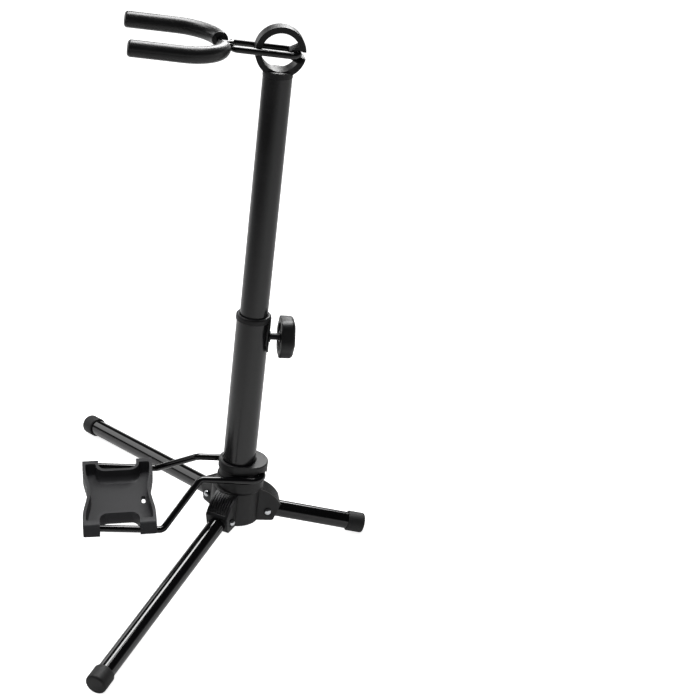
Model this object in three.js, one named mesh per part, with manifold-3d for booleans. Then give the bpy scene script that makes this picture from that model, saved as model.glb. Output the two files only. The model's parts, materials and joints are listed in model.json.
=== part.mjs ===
// A folding cello stand: a telescopic mast on a three-legged hub, with a wire yoke for the neck
// and a saddle plate on bent wires for the lower bout. Millimetres, +Z up, the cello side is -Y.
import * as THREE from "three";
import { mergeVertices } from "three/addons/utils/BufferGeometryUtils.js";
import Module from "manifold-3d";

const wasm = await Module();
wasm.setup();

const degrees = THREE.MathUtils.degToRad;
const quarterTurn = 90;

// Clearances and fineness
const seatGap = 0.3;
const slideGap = 0.4;
const cutOver = 1;
const roundSides = 28;
const legSides = 20;
const smallSides = 16;
const wireSides = 10;
const sleeveSides = 14;
const bendStep = degrees(15);
const wideBendStep = degrees(10);
const arcSteps = 5;
const edgeSteps = 3;
const roofSteps = 6;
const waistSteps = 12;
const searchSteps = 40;

// Legs
const legTube = { diameter: 20, wall: 1.5, hinge: 10.5 };
const legOpenAngle = degrees(9.8);
const longLeg = 296.6;
const shortLeg = 121;
const footCap = { diameter: 24, length: 20.2, end: 3, edge: 2.5, bevel: 1 };
const soleDepth = 0.6;
const legScrew = { diameter: 5, head: 8.6, dome: 2.8, nut: 8.2, nutDome: 4.4, thread: 3 };

// Hub
const hub = {
  depth: 11.6,
  shoulder: 30.9,
  columnRadius: 29.1,
  columnEdge: 1.5,
  tierRadius: 27.6,
  tierBack: 3.4,
  tierHeight: 13.9,
  neckRadius: 22.6,
  rimFrontRadius: 24,
  rimBackRadius: 25,
  rimBack: 9,
  rimHeight: 10.5,
  rimEdge: 1,
  lipDepth: 1.9,
  lipHalfWidth: 11,
};
const housing = {
  pinRadius: 38,
  halfWidth: 13.5,
  arcOut: 14.1,
  arcDown: 12.9,
  arcRadius: 44.9,
  arcTopAngle: degrees(76),
  arcEndAngle: degrees(31),
  heelOut: 44.6,
  heelEdge: 3,
  roof: 3,
  edgeLip: 3,
  ribs: 8,
  grooveShare: 0.45,
  grooveDepth: 1,
  plainBand: degrees(4),
  slotWall: 22.9,
};

// Mast
const outerTube = { diameter: 38, wall: 1.5, seat: 7.6, reach: 254.3 };
const innerTube = { diameter: 32, wall: 1.5, length: 528, restLift: 12.1 };
const endCap = { flange: 3.3, edge: 1, plug: 14 };

// Clamp at the top of the outer tube
const collar = { lip: 7, bulge: 1, edge: 2.4, sleeve: 48, pad: 1.3, padDrop: 38, padTop: 9, padMiddle: 11.4 };
const clamp = { drop: 27.5, bossRadius: 6, nutRadius: 4.3, nutSeat: 1.4, padThick: 1.6, padRadius: 2.6 };
const clampScrew = { diameter: 6, length: 23.5 };
const knob = {
  lobes: 6,
  lobeSteps: 8,
  diameter: 49,
  lobeDepth: 0.9,
  thickness: 16,
  standOff: 12.5,
  edge: 5,
  rearEdge: 0.8,
  neckRadius: 3.9,
  neckLength: 10.5,
  recessInner: 7,
  recessOuter: 18,
  recessDepth: 6,
  faceRadius: 15.5,
  faceGroove: 0.7,
  faceGrooveDepth: 0.5,
};

// Head ring and yoke
const ring = {
  radius: 27,
  wall: 6.6,
  armWidth: 15.8,
  hookWidth: 20.4,
  hingeBack: 19.5,
  hingeDrop: 1.5,
  mouth: 6.4,
  hookInset: 9.6,
  hookHeight: 9.5,
  hookTipShare: 0.35,
  slit: 2.6,
  capRadius: 16.3,
  capHeight: 6.4,
  plug: 26,
};
const yoke = {
  wire: 7,
  rise: degrees(2.6),
  endRadius: 10,
  rodSpacing: 28,
  rodReach: 64.9,
  neckTurn: degrees(70),
  neckRadius: 6,
  neckRun: 2.43,
  curlRadius: 5.2,
  armSpacing: 110,
  armRadius: 44,
  armReach: 181.6,
};
const yokeSleeve = { diameter: 17.7, start: 16, end: 3, edge: 3.6 };

// Cradle
const cradle = {
  wire: 8,
  hingeBack: 27.2,
  endRadius: 15,
  armSpacing: 54,
  armLength: 74,
  bendRadius: 12,
  flareOut: 43.8,
  flareForward: 42.5,
  flareDrop: 41.9,
  rodLength: 86,
};
const plate = {
  rimHalf: 75.2,
  footHalf: 78.6,
  length: 83.4,
  rearGap: 6.4,
  waistHalf: 56,
  frontWaist: 5.5,
  rearWaist: 4.5,
  rimTop: 9.3,
  crown: 4,
  lug: 19,
  lugBelow: 4.2,
  pocketEnd: 64.5,
  pocketWall: 3,
  floorTop: 5.6,
  floor: 2.5,
  floorHalf: 66,
  bowlHalf: 44,
  bowlRadius: 14,
  lip: 3.6,
  notchInner: 50.7,
  notchLong: 14,
  notchShort: 9,
  slotWidth: 5.1,
  slotLength: 12,
  slotInset: 13,
};

// Heights worked out along the mast, from the level of the leg pins
const hubBottom = -hub.depth;
const tubeSeat = hubBottom + outerTube.seat;
const outerTop = tubeSeat + seatGap + outerTube.reach - collar.lip;
const collarTop = outerTop + seatGap + collar.lip;
const clampHeight = collarTop - clamp.drop;
const innerBottom = hubBottom + innerTube.restLift;
const innerTop = innerBottom + innerTube.length;
const ringCentre = innerTop + seatGap + ring.radius;
const yokeHinge = ringCentre - ring.hingeDrop;
const tierTop = hub.shoulder + hub.tierHeight;
const cradleHinge = tierTop + seatGap + cradle.wire / 2;
const rimBottom = cradleHinge + cradle.wire / 2 + seatGap;
const rimTop = rimBottom + hub.rimHeight;

// Colours and finishes
const finish = (color, roughness, metalness) =>
  new THREE.MeshStandardMaterial({ color, roughness, metalness });
const blackPaint = finish(0x1c1c1d, 0.4, 0.3);
const blackWire = finish(0x0d0d0e, 0.18, 0.3);
const hubPlastic = finish(0x1b1b1c, 0.5, 0);
const clipPlastic = finish(0x161617, 0.45, 0);
const platePlastic = finish(0x2b2b2c, 0.65, 0);
const footRubber = finish(0x141415, 0.8, 0);
const foam = finish(0x19191a, 0.6, 0);
const zinc = finish(0xc9cbcc, 0.25, 1);
const brass = finish(0xb08d4f, 0.35, 1);

// Turns the triangles round where they face inwards
function facingOut(geometry) {
  const { position } = geometry.attributes;
  const index = geometry.index.array;
  const corners = [0, 1, 2].map(() => new THREE.Vector3());
  let volume = 0;
  for (let i = 0; i < index.length; i += 3) {
    corners.forEach((corner, k) => corner.fromBufferAttribute(position, index[i + k]));
    volume += corners[0].dot(corners[1].clone().cross(corners[2]));
  }
  if (volume < 0) {
    for (let i = 0; i < index.length; i += 3) [index[i], index[i + 1]] = [index[i + 1], index[i]];
  }
  return geometry;
}

// A closed solid that can be joined and cut
function solid(geometry) {
  const bare = geometry.clone();
  bare.deleteAttribute("normal");
  bare.deleteAttribute("uv");
  const welded = facingOut(mergeVertices(bare));
  const vertProperties = new Float32Array(welded.attributes.position.array);
  const triVerts = new Uint32Array(welded.index.array);
  return new wasm.Manifold(new wasm.Mesh({ numProp: 3, vertProperties, triVerts }));
}

function toGeometry(body) {
  const { vertProperties, triVerts } = body.getMesh();
  const geometry = new THREE.BufferGeometry();
  geometry.setAttribute("position", new THREE.BufferAttribute(vertProperties, 3));
  geometry.setIndex(new THREE.BufferAttribute(triVerts, 1));
  geometry.computeVertexNormals();
  return geometry;
}

const joined = (...bodies) => bodies.reduce((whole, body) => whole.add(body));
const cut = (body, ...tools) => tools.reduce((left, tool) => left.subtract(tool), body);

// Points along an arc, counted from the angle where it starts
function arc(x, y, radius, from, to, steps = arcSteps) {
  return Array.from({ length: steps + 1 }, (_, i) => {
    const angle = from + ((to - from) * i) / steps;
    return [x + radius * Math.cos(angle), y + radius * Math.sin(angle)];
  });
}

const toShape = (points) => new THREE.Shape(points.map(([x, y]) => new THREE.Vector2(x, y)));

// A profile of [radius, height] turned about the Z axis; it starts and ends on the axis or closes on itself
function revolved(profile, sides = roundSides) {
  const points = profile.map(([radius, height]) => new THREE.Vector2(radius, height));
  return solid(new THREE.LatheGeometry(points, sides).rotateX(Math.PI / 2));
}

const cylinder = (radius, from, to, sides = roundSides) =>
  revolved([[0, from], [radius, from], [radius, to], [0, to]], sides);

const pipe = (outer, inner, from, to, sides = roundSides) =>
  revolved([[inner, from], [outer, from], [outer, to], [inner, to], [inner, from]], sides);

// A cylinder along X or Y, through a point of the plane square to it
const alongX = (radius, y, z, from, to, sides = roundSides) =>
  solid(
    new THREE.CylinderGeometry(radius, radius, to - from, sides)
      .rotateZ(Math.PI / 2)
      .translate((from + to) / 2, y, z),
  );
const alongY = (radius, x, z, from, to, sides = roundSides) =>
  solid(new THREE.CylinderGeometry(radius, radius, to - from, sides).translate(x, (from + to) / 2, z));

// An outline drawn in plan, raised from one height to another
const raised = (points, from, to) =>
  solid(new THREE.ExtrudeGeometry(toShape(points), { depth: to - from, bevelEnabled: false }).translate(0, 0, from));

// An outline drawn in the Y-Z plane, as thick as told along X
function slab(points, from, to) {
  const turn = new THREE.Matrix4().makeBasis(
    new THREE.Vector3(0, 1, 0),
    new THREE.Vector3(0, 0, 1),
    new THREE.Vector3(1, 0, 0),
  );
  const geometry = new THREE.ExtrudeGeometry(toShape(points), { depth: to - from, bevelEnabled: false });
  return solid(geometry.applyMatrix4(turn).translate(from, 0, 0));
}

// An outline drawn in the X-Z plane, running along Y
function extrusion(points, from, to) {
  const geometry = new THREE.ExtrudeGeometry(toShape(points), { depth: to - from, bevelEnabled: false });
  return solid(geometry.rotateX(Math.PI / 2).translate(0, to, 0));
}

function block(x0, x1, y0, y1, z0, z1) {
  const geometry = new THREE.BoxGeometry(x1 - x0, y1 - y0, z1 - z0);
  return solid(geometry.translate((x0 + x1) / 2, (y0 + y1) / 2, (z0 + z1) / 2));
}

// The centre line of a bent wire, with a station at each end of a straight and at each step of a bend
class BentLine extends THREE.Curve {
  constructor(stations) {
    super();
    this.stations = stations;
    this.steps = stations.length - 1;
  }

  // A wire that is the same on both sides of the plane X = 0, from the half where X is positive
  static mirrored(half) {
    const flip = ({ point, tangent }) => ({
      point: point.clone().setX(-point.x),
      tangent: tangent.clone().multiply(new THREE.Vector3(1, -1, -1)),
    });
    return new BentLine([...half.map(flip).reverse(), ...half]);
  }

  getUtoTmapping(u) {
    return u;
  }

  getPoint(t) {
    return this.stations[Math.round(t * this.steps)].point.clone();
  }

  getTangent(t) {
    return this.stations[Math.round(t * this.steps)].tangent.clone();
  }
}

// A wide bend takes finer steps than a tight one
const stepsOf = (radius, turn) => Math.ceil(Math.abs(turn) / (radius > cradle.endRadius ? wideBendStep : bendStep));

// Walks along a flat wire in the X-Y plane: each move is a straight run or a bend of a radius and a turn
function walk(x, y, heading, moves) {
  const stations = [];
  const spot = new THREE.Vector3(x, y, 0);
  let angle = heading;
  const note = () =>
    stations.push({ point: spot.clone(), tangent: new THREE.Vector3(Math.cos(angle), Math.sin(angle), 0) });
  note();
  for (const { run, radius, turn } of moves) {
    if (run) {
      spot.add(new THREE.Vector3(run * Math.cos(angle), run * Math.sin(angle), 0));
      note();
      continue;
    }
    const steps = stepsOf(radius, turn);
    for (let i = 0; i < steps; i += 1) {
      const step = turn / steps;
      const chord = 2 * radius * Math.sin(Math.abs(step) / 2);
      spot.add(new THREE.Vector3(Math.cos(angle + step / 2), Math.sin(angle + step / 2), 0).multiplyScalar(chord));
      angle += step;
      note();
    }
  }
  return stations;
}

// Stations of a wire through a list of corners, each but the first and last rounded by its radius
function throughCorners(corners) {
  const stations = [];
  const along = (from, to) => to.clone().sub(from).normalize();
  corners.forEach(({ at, radius }, i) => {
    const before = i > 0 ? along(corners[i - 1].at, at) : along(at, corners[i + 1].at);
    const after = i < corners.length - 1 ? along(at, corners[i + 1].at) : before;
    if (!radius) {
      stations.push({ point: at.clone(), tangent: before });
      return;
    }
    const turn = before.angleTo(after);
    const axis = before.clone().cross(after).normalize();
    const start = at.clone().addScaledVector(before, -radius * Math.tan(turn / 2));
    const centre = start.clone().addScaledVector(axis.clone().cross(before), radius);
    const steps = stepsOf(radius, turn);
    for (let k = 0; k <= steps; k += 1) {
      const angle = (turn * k) / steps;
      const spoke = start.clone().sub(centre).applyAxisAngle(axis, angle);
      stations.push({ point: centre.clone().add(spoke), tangent: before.clone().applyAxisAngle(axis, angle) });
    }
  });
  return stations;
}

// A round bar along a bent line
function bar(line, radius, sides) {
  const section = new THREE.Shape().absarc(0, 0, radius, 0, 2 * Math.PI);
  const options = { steps: line.steps, curveSegments: sides / 2, extrudePath: line, bevelEnabled: false };
  return solid(new THREE.ExtrudeGeometry(section, options));
}

function mesh(name, body, material) {
  const piece = new THREE.Mesh(toGeometry(body), material);
  piece.name = name;
  return piece;
}

// The hub's column with its tier, neck and rim, before the housings are added
function hubColumn() {
  const edge = hub.columnEdge;
  const column = revolved([
    [0, hubBottom],
    [hub.columnRadius, hubBottom],
    ...arc(hub.columnRadius - edge, hub.shoulder - edge, edge, 0, Math.PI / 2),
    [0, hub.shoulder],
  ]);
  const tier = cylinder(hub.tierRadius, hub.shoulder - cutOver, tierTop).translate([0, hub.tierBack, 0]);
  const neck = cylinder(hub.neckRadius, tierTop - cutOver, rimBottom + cutOver);
  return joined(column, tier, neck, hubRim());
}

// The rim stands on the neck, reaches back over the cradle wire and is flat where the arms swing past
function hubRim() {
  const edge = hub.rimEdge;
  const disc = (radius) =>
    revolved([
      [0, rimBottom],
      [radius, rimBottom],
      ...arc(radius - edge, rimTop - edge, edge, 0, Math.PI / 2),
      [0, rimTop],
    ]);
  const round = joined(disc(hub.rimFrontRadius), disc(hub.rimBackRadius).translate([0, hub.rimBack, 0]));
  const reach = hub.rimBack + hub.rimBackRadius;
  const between = block(-hub.neckRadius, hub.neckRadius, -reach, reach, rimBottom - cutOver, rimTop + cutOver);
  const lipFront = cradle.hingeBack + cradle.wire / 2 + seatGap;
  const lip = cylinder(hub.rimBackRadius, rimBottom - hub.lipDepth, rimBottom + cutOver)
    .translate([0, hub.rimBack, 0])
    .intersect(
      block(-hub.lipHalfWidth, hub.lipHalfWidth, lipFront, reach + cutOver, hub.shoulder, rimTop),
    );
  return joined(round.intersect(between), lip);
}

// Points of the housing's arched roof, at a depth under its skin, from the shoulder out to the edge
const roofArc = (depth, from, to) =>
  arc(housing.arcOut, -housing.arcDown, housing.arcRadius - depth, from, to, roofSteps);

// One leg housing, drawn with +Y outwards: two fan-shaped cheeks under an arched roof with ribs
function legHousing() {
  const half = housing.halfWidth;
  const heel = housing.heelEdge;
  const fan = [
    [hub.neckRadius, hubBottom],
    [housing.heelOut - heel, hubBottom],
    [housing.heelOut + heel / 2, hubBottom + heel / 2],
    ...roofArc(0, housing.arcEndAngle, housing.arcTopAngle),
    [hub.neckRadius, hub.shoulder],
  ];
  const pitch = (2 * half) / (housing.ribs + 1);
  const groove = pitch * housing.grooveShare;
  const bandEnd = housing.arcEndAngle + housing.plainBand;
  const band = [
    ...roofArc(housing.grooveDepth, bandEnd, housing.arcTopAngle),
    ...roofArc(-cutOver, housing.arcTopAngle, bandEnd),
  ];
  const grooves = Array.from({ length: housing.ribs }, (_, i) => {
    const middle = (i + 0.5 - housing.ribs / 2) * pitch;
    return slab(band, middle - groove / 2, middle + groove / 2);
  });
  return cut(slab(fan, -half, half), ...grooves);
}

// The space that a leg swings in, and the hole for its screw, with +Y outwards
function legSlot() {
  const half = legTube.diameter / 2 + seatGap;
  const reach = housing.pinRadius + housing.arcRadius;
  const lipInside = housing.arcOut + housing.arcRadius * Math.cos(housing.arcEndAngle) - housing.edgeLip;
  const stop = (y) =>
    legTube.diameter / 2 / Math.cos(legOpenAngle) + seatGap - (y - housing.pinRadius) * Math.tan(legOpenAngle);
  const inner = housing.arcRadius - housing.roof;
  const from = Math.acos((lipInside - housing.arcOut) / inner);
  const to = Math.acos((housing.slotWall - housing.arcOut) / inner);
  const space = [
    [housing.slotWall, hubBottom - cutOver],
    [reach, hubBottom - cutOver],
    [reach, stop(reach)],
    [lipInside, stop(lipInside)],
    ...roofArc(housing.roof, from, to),
  ];
  const hole = legScrew.diameter / 2 + seatGap;
  const across = housing.halfWidth + cutOver;
  return joined(
    slab(space, -half, half),
    alongX(hole, housing.pinRadius, 0, -across, across, smallSides),
  );
}

const legTurns = { rear: 0, left: degrees(120), right: degrees(-120) };

function hubBody() {
  const turned = (body) => Object.values(legTurns).map((turn) => body.rotate([0, 0, THREE.MathUtils.radToDeg(turn)]));
  const whole = joined(hubColumn(), ...turned(legHousing()));
  const tubeBore = cylinder(outerTube.diameter / 2 + seatGap, tubeSeat, rimTop + cutOver);
  const slideBore = cylinder(innerTube.diameter / 2 + slideGap, hubBottom - cutOver, tubeSeat + cutOver);
  return cut(whole, tubeBore, slideBore, cradleSwing(), ...turned(legSlot()));
}

// The room over its hinge that the cradle wire's bent ends sweep when the cradle folds up
function cradleSwing() {
  const half = cradle.armSpacing / 2;
  const reach = cradle.endRadius;
  const sweep = revolved(hingeProfile(cradle, half - cradle.endRadius, hub.neckRadius + cutOver), smallSides)
    .rotate([0, quarterTurn, 0])
    .translate([0, cradle.hingeBack, cradleHinge]);
  const above = [cradle.hingeBack - reach, cradle.hingeBack + reach, cradleHinge, cradleHinge + reach];
  const straight = half - cradle.endRadius;
  return joined(
    sweep.intersect(block(straight, half, ...above)),
    sweep.intersect(block(-half, -straight, ...above)),
  );
}

// One leg, drawn along +Y from its pin: the group that turns on the pin, with its tube, and its rubber cap's body
function legPieces(side, length) {
  const radius = legTube.diameter / 2;
  const bore = radius - legTube.wall;
  const tubeEnd = length - footCap.end - seatGap;
  const lay = (body) => body.rotate([-quarterTurn, 0, 0]);
  const crossHole = legScrew.diameter / 2 + seatGap;
  const tube = cut(
    lay(pipe(radius, bore, -legTube.hinge, tubeEnd, legSides)),
    alongX(crossHole, 0, 0, -radius - cutOver, radius + cutOver, smallSides),
  );
  const capRadius = footCap.diameter / 2;
  const capBore = radius + seatGap;
  const mouth = length - footCap.length;
  const bevel = footCap.bevel;
  const profile = [
    [capBore, mouth],
    [capRadius - bevel, mouth],
    [capRadius, mouth + bevel],
    ...arc(capRadius - footCap.edge, length - footCap.edge, footCap.edge, 0, Math.PI / 2, edgeSteps),
    [0, length],
    [0, length - footCap.end],
    [capBore, length - footCap.end],
    [capBore, mouth],
  ];
  const leg = new THREE.Group();
  leg.position.set(0, housing.pinRadius, 0);
  leg.rotation.x = -legOpenAngle;
  leg.add(mesh(`leg_tube_${side}`, tube, blackWire));
  return { leg, cap: lay(revolved(profile, legSides)) };
}

// The screw through both cheeks and the domed nut on its end, along X through the pin
function legFastener(side) {
  const face = housing.halfWidth + seatGap;
  const shank = legScrew.diameter / 2;
  const head = legScrew.head / 2;
  const nut = legScrew.nut / 2;
  const bore = shank + seatGap;
  const shankEnd = face + legScrew.thread;
  const screw = revolved(
    [
      [0, -shankEnd],
      [shank, -shankEnd],
      [shank, face],
      [head, face],
      ...dome(head, face, legScrew.dome),
    ],
    smallSides,
  );
  const capNut = revolved(
    [
      [bore, -face],
      [nut, -face],
      ...dome(nut, -face - cutOver, -legScrew.nutDome + cutOver),
      [0, -shankEnd - seatGap],
      [bore, -shankEnd - seatGap],
      [bore, -face],
    ],
    smallSides,
  );
  const aim = (body) => body.rotate([0, quarterTurn, 0]).translate([0, housing.pinRadius, 0]);
  const group = new THREE.Group();
  group.add(mesh(`leg_screw_${side}`, aim(screw), zinc), mesh(`leg_nut_${side}`, aim(capNut), zinc));
  return group;
}

// The rounded crown of a head, from its rim to the axis
function dome(radius, base, height) {
  return Array.from({ length: edgeSteps + 1 }, (_, i) => {
    const angle = (Math.PI / 2) * (i / edgeSteps);
    return [i === edgeSteps ? 0 : radius * Math.cos(angle), base + height * Math.sin(angle)];
  });
}

// The outer tube, with the hole in its back that the clamp boss passes through
function outerTubeBody() {
  const radius = outerTube.diameter / 2;
  const tube = pipe(radius, radius - outerTube.wall, tubeSeat + seatGap, outerTop);
  return cut(tube, alongY(clamp.bossRadius + seatGap, 0, clampHeight, 0, radius + cutOver, smallSides));
}

// The collar: a lip on the tube's end, a sleeve between the tubes and a saddle pad that holds the clamp
function collarBody() {
  const inner = innerTube.diameter / 2 + slideGap;
  const sleeve = outerTube.diameter / 2 - outerTube.wall - seatGap;
  const lip = outerTube.diameter / 2 + collar.bulge;
  const rise = collar.lip / 2;
  const round = revolved([
    [inner, outerTop - collar.sleeve],
    [sleeve, outerTop - collar.sleeve],
    [sleeve, outerTop + seatGap],
    [lip - cutOver, outerTop + seatGap],
    [lip, outerTop + seatGap + cutOver],
    [lip, collarTop - rise],
    ...arc(lip - collar.edge, collarTop - collar.edge, collar.edge, 0, Math.PI / 2, edgeSteps),
    [inner + slideGap, collarTop],
    [inner, collarTop - slideGap],
    [inner, outerTop - collar.sleeve],
  ]);
  const skin = outerTube.diameter / 2 + seatGap;
  const saddle = pipe(skin + collar.pad, skin, outerTop - collar.sleeve, outerTop + rise);
  const outline = [
    [collar.padTop, outerTop + rise],
    [collar.padMiddle, clampHeight + clamp.bossRadius],
    [collar.padMiddle, clampHeight - clamp.bossRadius],
    ...arc(0, collarTop - collar.padDrop, collar.padTop, 0, -Math.PI),
    [-collar.padMiddle, clampHeight - clamp.bossRadius],
    [-collar.padMiddle, clampHeight + clamp.bossRadius],
    [-collar.padTop, outerTop + rise],
  ];
  const pad = extrusion(outline, 0, outerTube.diameter).intersect(saddle);
  const boss = alongY(clamp.bossRadius, 0, clampHeight, inner + seatGap, skin + collar.pad / 2, smallSides);
  const nutBore = clamp.nutRadius + seatGap;
  const nutBack = inner + clamp.nutSeat;
  return cut(
    joined(round, pad, boss),
    alongY(nutBore, 0, clampHeight, nutBack, outerTube.diameter, smallSides),
    alongY(clamp.padRadius + slideGap, 0, clampHeight, 0, nutBack + cutOver, smallSides),
  );
}

// The clamp's pieces along Y, from the pressure pad out to the knob
function clampPieces() {
  const inner = innerTube.diameter / 2;
  const padFace = inner + seatGap;
  const padBack = padFace + clamp.padThick;
  const nutBack = inner + slideGap + clamp.nutSeat + seatGap;
  const nutFace = outerTube.diameter / 2 + collar.pad + seatGap;
  const thread = clampScrew.diameter / 2;
  const screwTip = padBack + seatGap;
  const screwEnd = screwTip + clampScrew.length;
  const pad = alongY(clamp.padRadius, 0, 0, padFace, padBack, smallSides);
  const nut = cut(
    alongY(clamp.nutRadius, 0, 0, nutBack, nutFace, smallSides),
    alongY(thread + seatGap, 0, 0, nutBack - cutOver, nutFace + cutOver, smallSides),
  );
  const screw = alongY(thread, 0, 0, screwTip, screwEnd, smallSides);
  return { pad, nut, screw, knob: knobBody(screwEnd) };
}

// The lobed knob: a prism inside a rounded envelope, with a neck, a recessed back and a ring on its face
function knobBody(screwEnd) {
  const back = outerTube.diameter / 2 + knob.standOff;
  const face = back + knob.thickness;
  const outer = knob.diameter / 2;
  const steps = knob.lobes * knob.lobeSteps;
  const lobes = Array.from({ length: steps }, (_, i) => {
    const angle = (2 * Math.PI * i) / steps;
    const radius = outer - knob.lobeDepth * (1 - Math.cos(knob.lobes * angle));
    return [radius * Math.cos(angle), radius * Math.sin(angle)];
  });
  const envelope = revolved([
    [0, back],
    [outer - knob.rearEdge, back],
    [outer, back + knob.rearEdge],
    ...arc(outer - knob.edge, face - knob.edge, knob.edge, 0, Math.PI / 2),
    [0, face],
  ]);
  const neck = cylinder(knob.neckRadius, back - knob.neckLength, back + knob.recessDepth + cutOver, smallSides);
  const recess = pipe(knob.recessOuter, knob.recessInner, back - cutOver, back + knob.recessDepth);
  const line = pipe(
    knob.faceRadius + knob.faceGroove / 2,
    knob.faceRadius - knob.faceGroove / 2,
    face - knob.faceGrooveDepth,
    face + cutOver,
  );
  const bore = cylinder(
    clampScrew.diameter / 2 + seatGap,
    back - knob.neckLength - cutOver,
    screwEnd + seatGap,
    smallSides,
  );
  const body = raised(lobes, back, face).intersect(envelope);
  return cut(joined(cut(body, recess), neck), line, bore).rotate([-quarterTurn, 0, 0]);
}

function innerTubeBody() {
  const radius = innerTube.diameter / 2;
  return pipe(radius, radius - innerTube.wall, innerBottom, innerTop);
}

// The plastic cap in the lower end of the inner tube, flush with its outside
function endCapBody() {
  const radius = innerTube.diameter / 2;
  const plug = radius - innerTube.wall - seatGap;
  const seat = innerBottom - seatGap;
  return revolved([
    [0, seat - endCap.flange],
    ...arc(radius - endCap.edge, seat - endCap.flange + endCap.edge, endCap.edge, -Math.PI / 2, 0, edgeSteps),
    [radius, seat],
    [plug, seat],
    [plug, seat + endCap.plug],
    [0, seat + endCap.plug],
  ]);
}

// The head ring: an open ring on a plug, whose two ends thicken into hooks round the yoke's hinge
function headRingBody() {
  const inner = ring.radius - ring.wall;
  const z = ringCentre;
  const hookHalf = ring.hookWidth / 2;
  const armHalf = ring.armWidth / 2;
  const disc = (half) => alongX(ring.radius, 0, z, -half, half);
  const upper = block(-hookHalf, hookHalf, -ring.radius, ring.radius, yokeHinge, z + ring.radius);
  const hollow = alongX(inner, 0, z, -ring.capRadius, ring.capRadius);
  const band = joined(disc(armHalf), disc(hookHalf).subtract(upper));
  const hooks = joined(
    hookBlock(armHalf, yokeHinge, yokeHinge + ring.hookHeight + ring.hingeDrop),
    hookBlock(hookHalf, yokeHinge - ring.hookHeight - ring.hingeDrop, yokeHinge),
  );
  const capBottom = innerTop + seatGap;
  const cap = cylinder(ring.capRadius, capBottom, capBottom + ring.capHeight);
  const plugRadius = innerTube.diameter / 2 - innerTube.wall - seatGap;
  const plug = cylinder(plugRadius, capBottom - ring.plug, capBottom + cutOver);
  const mouth = block(
    -ring.radius, ring.radius, ring.hingeBack, ring.radius + cutOver,
    yokeHinge - ring.mouth / 2, yokeHinge + ring.mouth / 2,
  );
  const slit = block(
    -ring.radius, ring.radius, 0, ring.hingeBack, yokeHinge - ring.slit / 2, yokeHinge + ring.slit / 2,
  );
  const straight = yoke.rodSpacing / 2 - yoke.endRadius;
  const journal = revolved(hingeProfile(yoke, straight, hookHalf), smallSides)
    .rotate([0, quarterTurn, 0])
    .translate([0, ring.hingeBack, yokeHinge]);
  return cut(joined(cut(joined(band, cap), hollow), hooks, plug), mouth, slit, journal);
}

// The room that the closed end of a bent wire turns in: straight in the middle and flared where the wire bends away
function hingeProfile({ wire, endRadius }, straight, half) {
  const inside = endRadius - wire / 2;
  const flare = Array.from({ length: arcSteps + 1 }, (_, i) => {
    const out = ((half - straight) * i) / arcSteps;
    return [endRadius - Math.sqrt(Math.max(0, inside ** 2 - out ** 2)) + slideGap, straight + out];
  });
  const mirror = flare.map(([radius, x]) => [radius, -x]).reverse();
  return [[0, -half - cutOver], [flare.at(-1)[0], -half - cutOver], ...mirror, ...flare,
    [flare.at(-1)[0], half + cutOver], [0, half + cutOver]];
}

// A hook at one end of the ring: a wedge from the ring's wall in to its tip, inside the ring's circle
function hookBlock(half, from, to) {
  const above = from >= yokeHinge;
  const root = above ? to : from;
  const tip = above ? from : to;
  const outline = [
    [ring.hookInset, tip],
    [ring.hookInset, tip + (root - tip) * ring.hookTipShare],
    [ring.hingeBack + ring.wall / 2, root],
    [ring.radius, root],
    [ring.radius, tip],
  ];
  return slab(outline, -half, half).intersect(alongX(ring.radius, 0, ringCentre, -half, half));
}

// Half of the yoke wire from the middle of its closed end, with -Y forwards
function yokeHalf() {
  const straight = yoke.rodSpacing / 2 - yoke.endRadius;
  const curl = yoke.neckTurn + Math.PI / 2;
  const stations = walk(0, 0, 0, [
    { run: straight },
    { radius: yoke.endRadius, turn: -Math.PI / 2 },
    { run: yoke.rodReach - yoke.endRadius },
    { radius: yoke.neckRadius, turn: -yoke.neckTurn },
    { run: yoke.neckRun },
    { radius: yoke.curlRadius, turn: curl },
  ]);
  const base = stations.at(-1).point;
  const side = yoke.armSpacing / 2 - yoke.armRadius;
  const reach = yoke.armReach + base.y - yoke.armRadius - yokeSleeve.end - seatGap;
  const arm = walk(base.x, base.y, 0, [
    { run: side - base.x },
    { radius: yoke.armRadius, turn: -Math.PI / 2 },
    { run: reach },
  ]);
  return { stations: [...stations, ...arm.slice(1)], base };
}

// A soft sleeve over one arm of the yoke, from the arm's foot round the bend to its closed tip
function sleeveBody(base) {
  const radius = yokeSleeve.diameter / 2;
  const side = yoke.armSpacing / 2 - yoke.armRadius;
  const lead = Math.asin((yokeSleeve.start - side) / yoke.armRadius);
  const startY = base.y - yoke.armRadius * (1 - Math.cos(lead));
  const reach = yoke.armReach + base.y - yoke.armRadius;
  const path = (run) =>
    new BentLine(
      walk(yokeSleeve.start, startY, -lead, [{ radius: yoke.armRadius, turn: lead - Math.PI / 2 }, { run }]),
    );
  const bulk = bar(path(reach - yokeSleeve.edge), radius, sleeveSides);
  const edge = yokeSleeve.edge;
  const tip = revolved(
    [
      [0, reach - 2 * edge],
      [radius, reach - 2 * edge],
      ...arc(radius - edge, reach - edge, edge, 0, Math.PI / 2, edgeSteps),
      [0, reach],
    ],
    sleeveSides,
  )
    .rotate([quarterTurn, 0, 0])
    .translate([yoke.armSpacing / 2, base.y - yoke.armRadius, 0]);
  const bore = bar(path(reach - yokeSleeve.end), yoke.wire / 2 + slideGap, wireSides);
  const mouth = new BentLine(
    walk(yokeSleeve.start - cutOver, startY, 0, [{ run: cutOver + cutOver }]),
  );
  return cut(joined(bulk, tip), bore, bar(mouth, yoke.wire / 2 + slideGap, wireSides));
}

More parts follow.
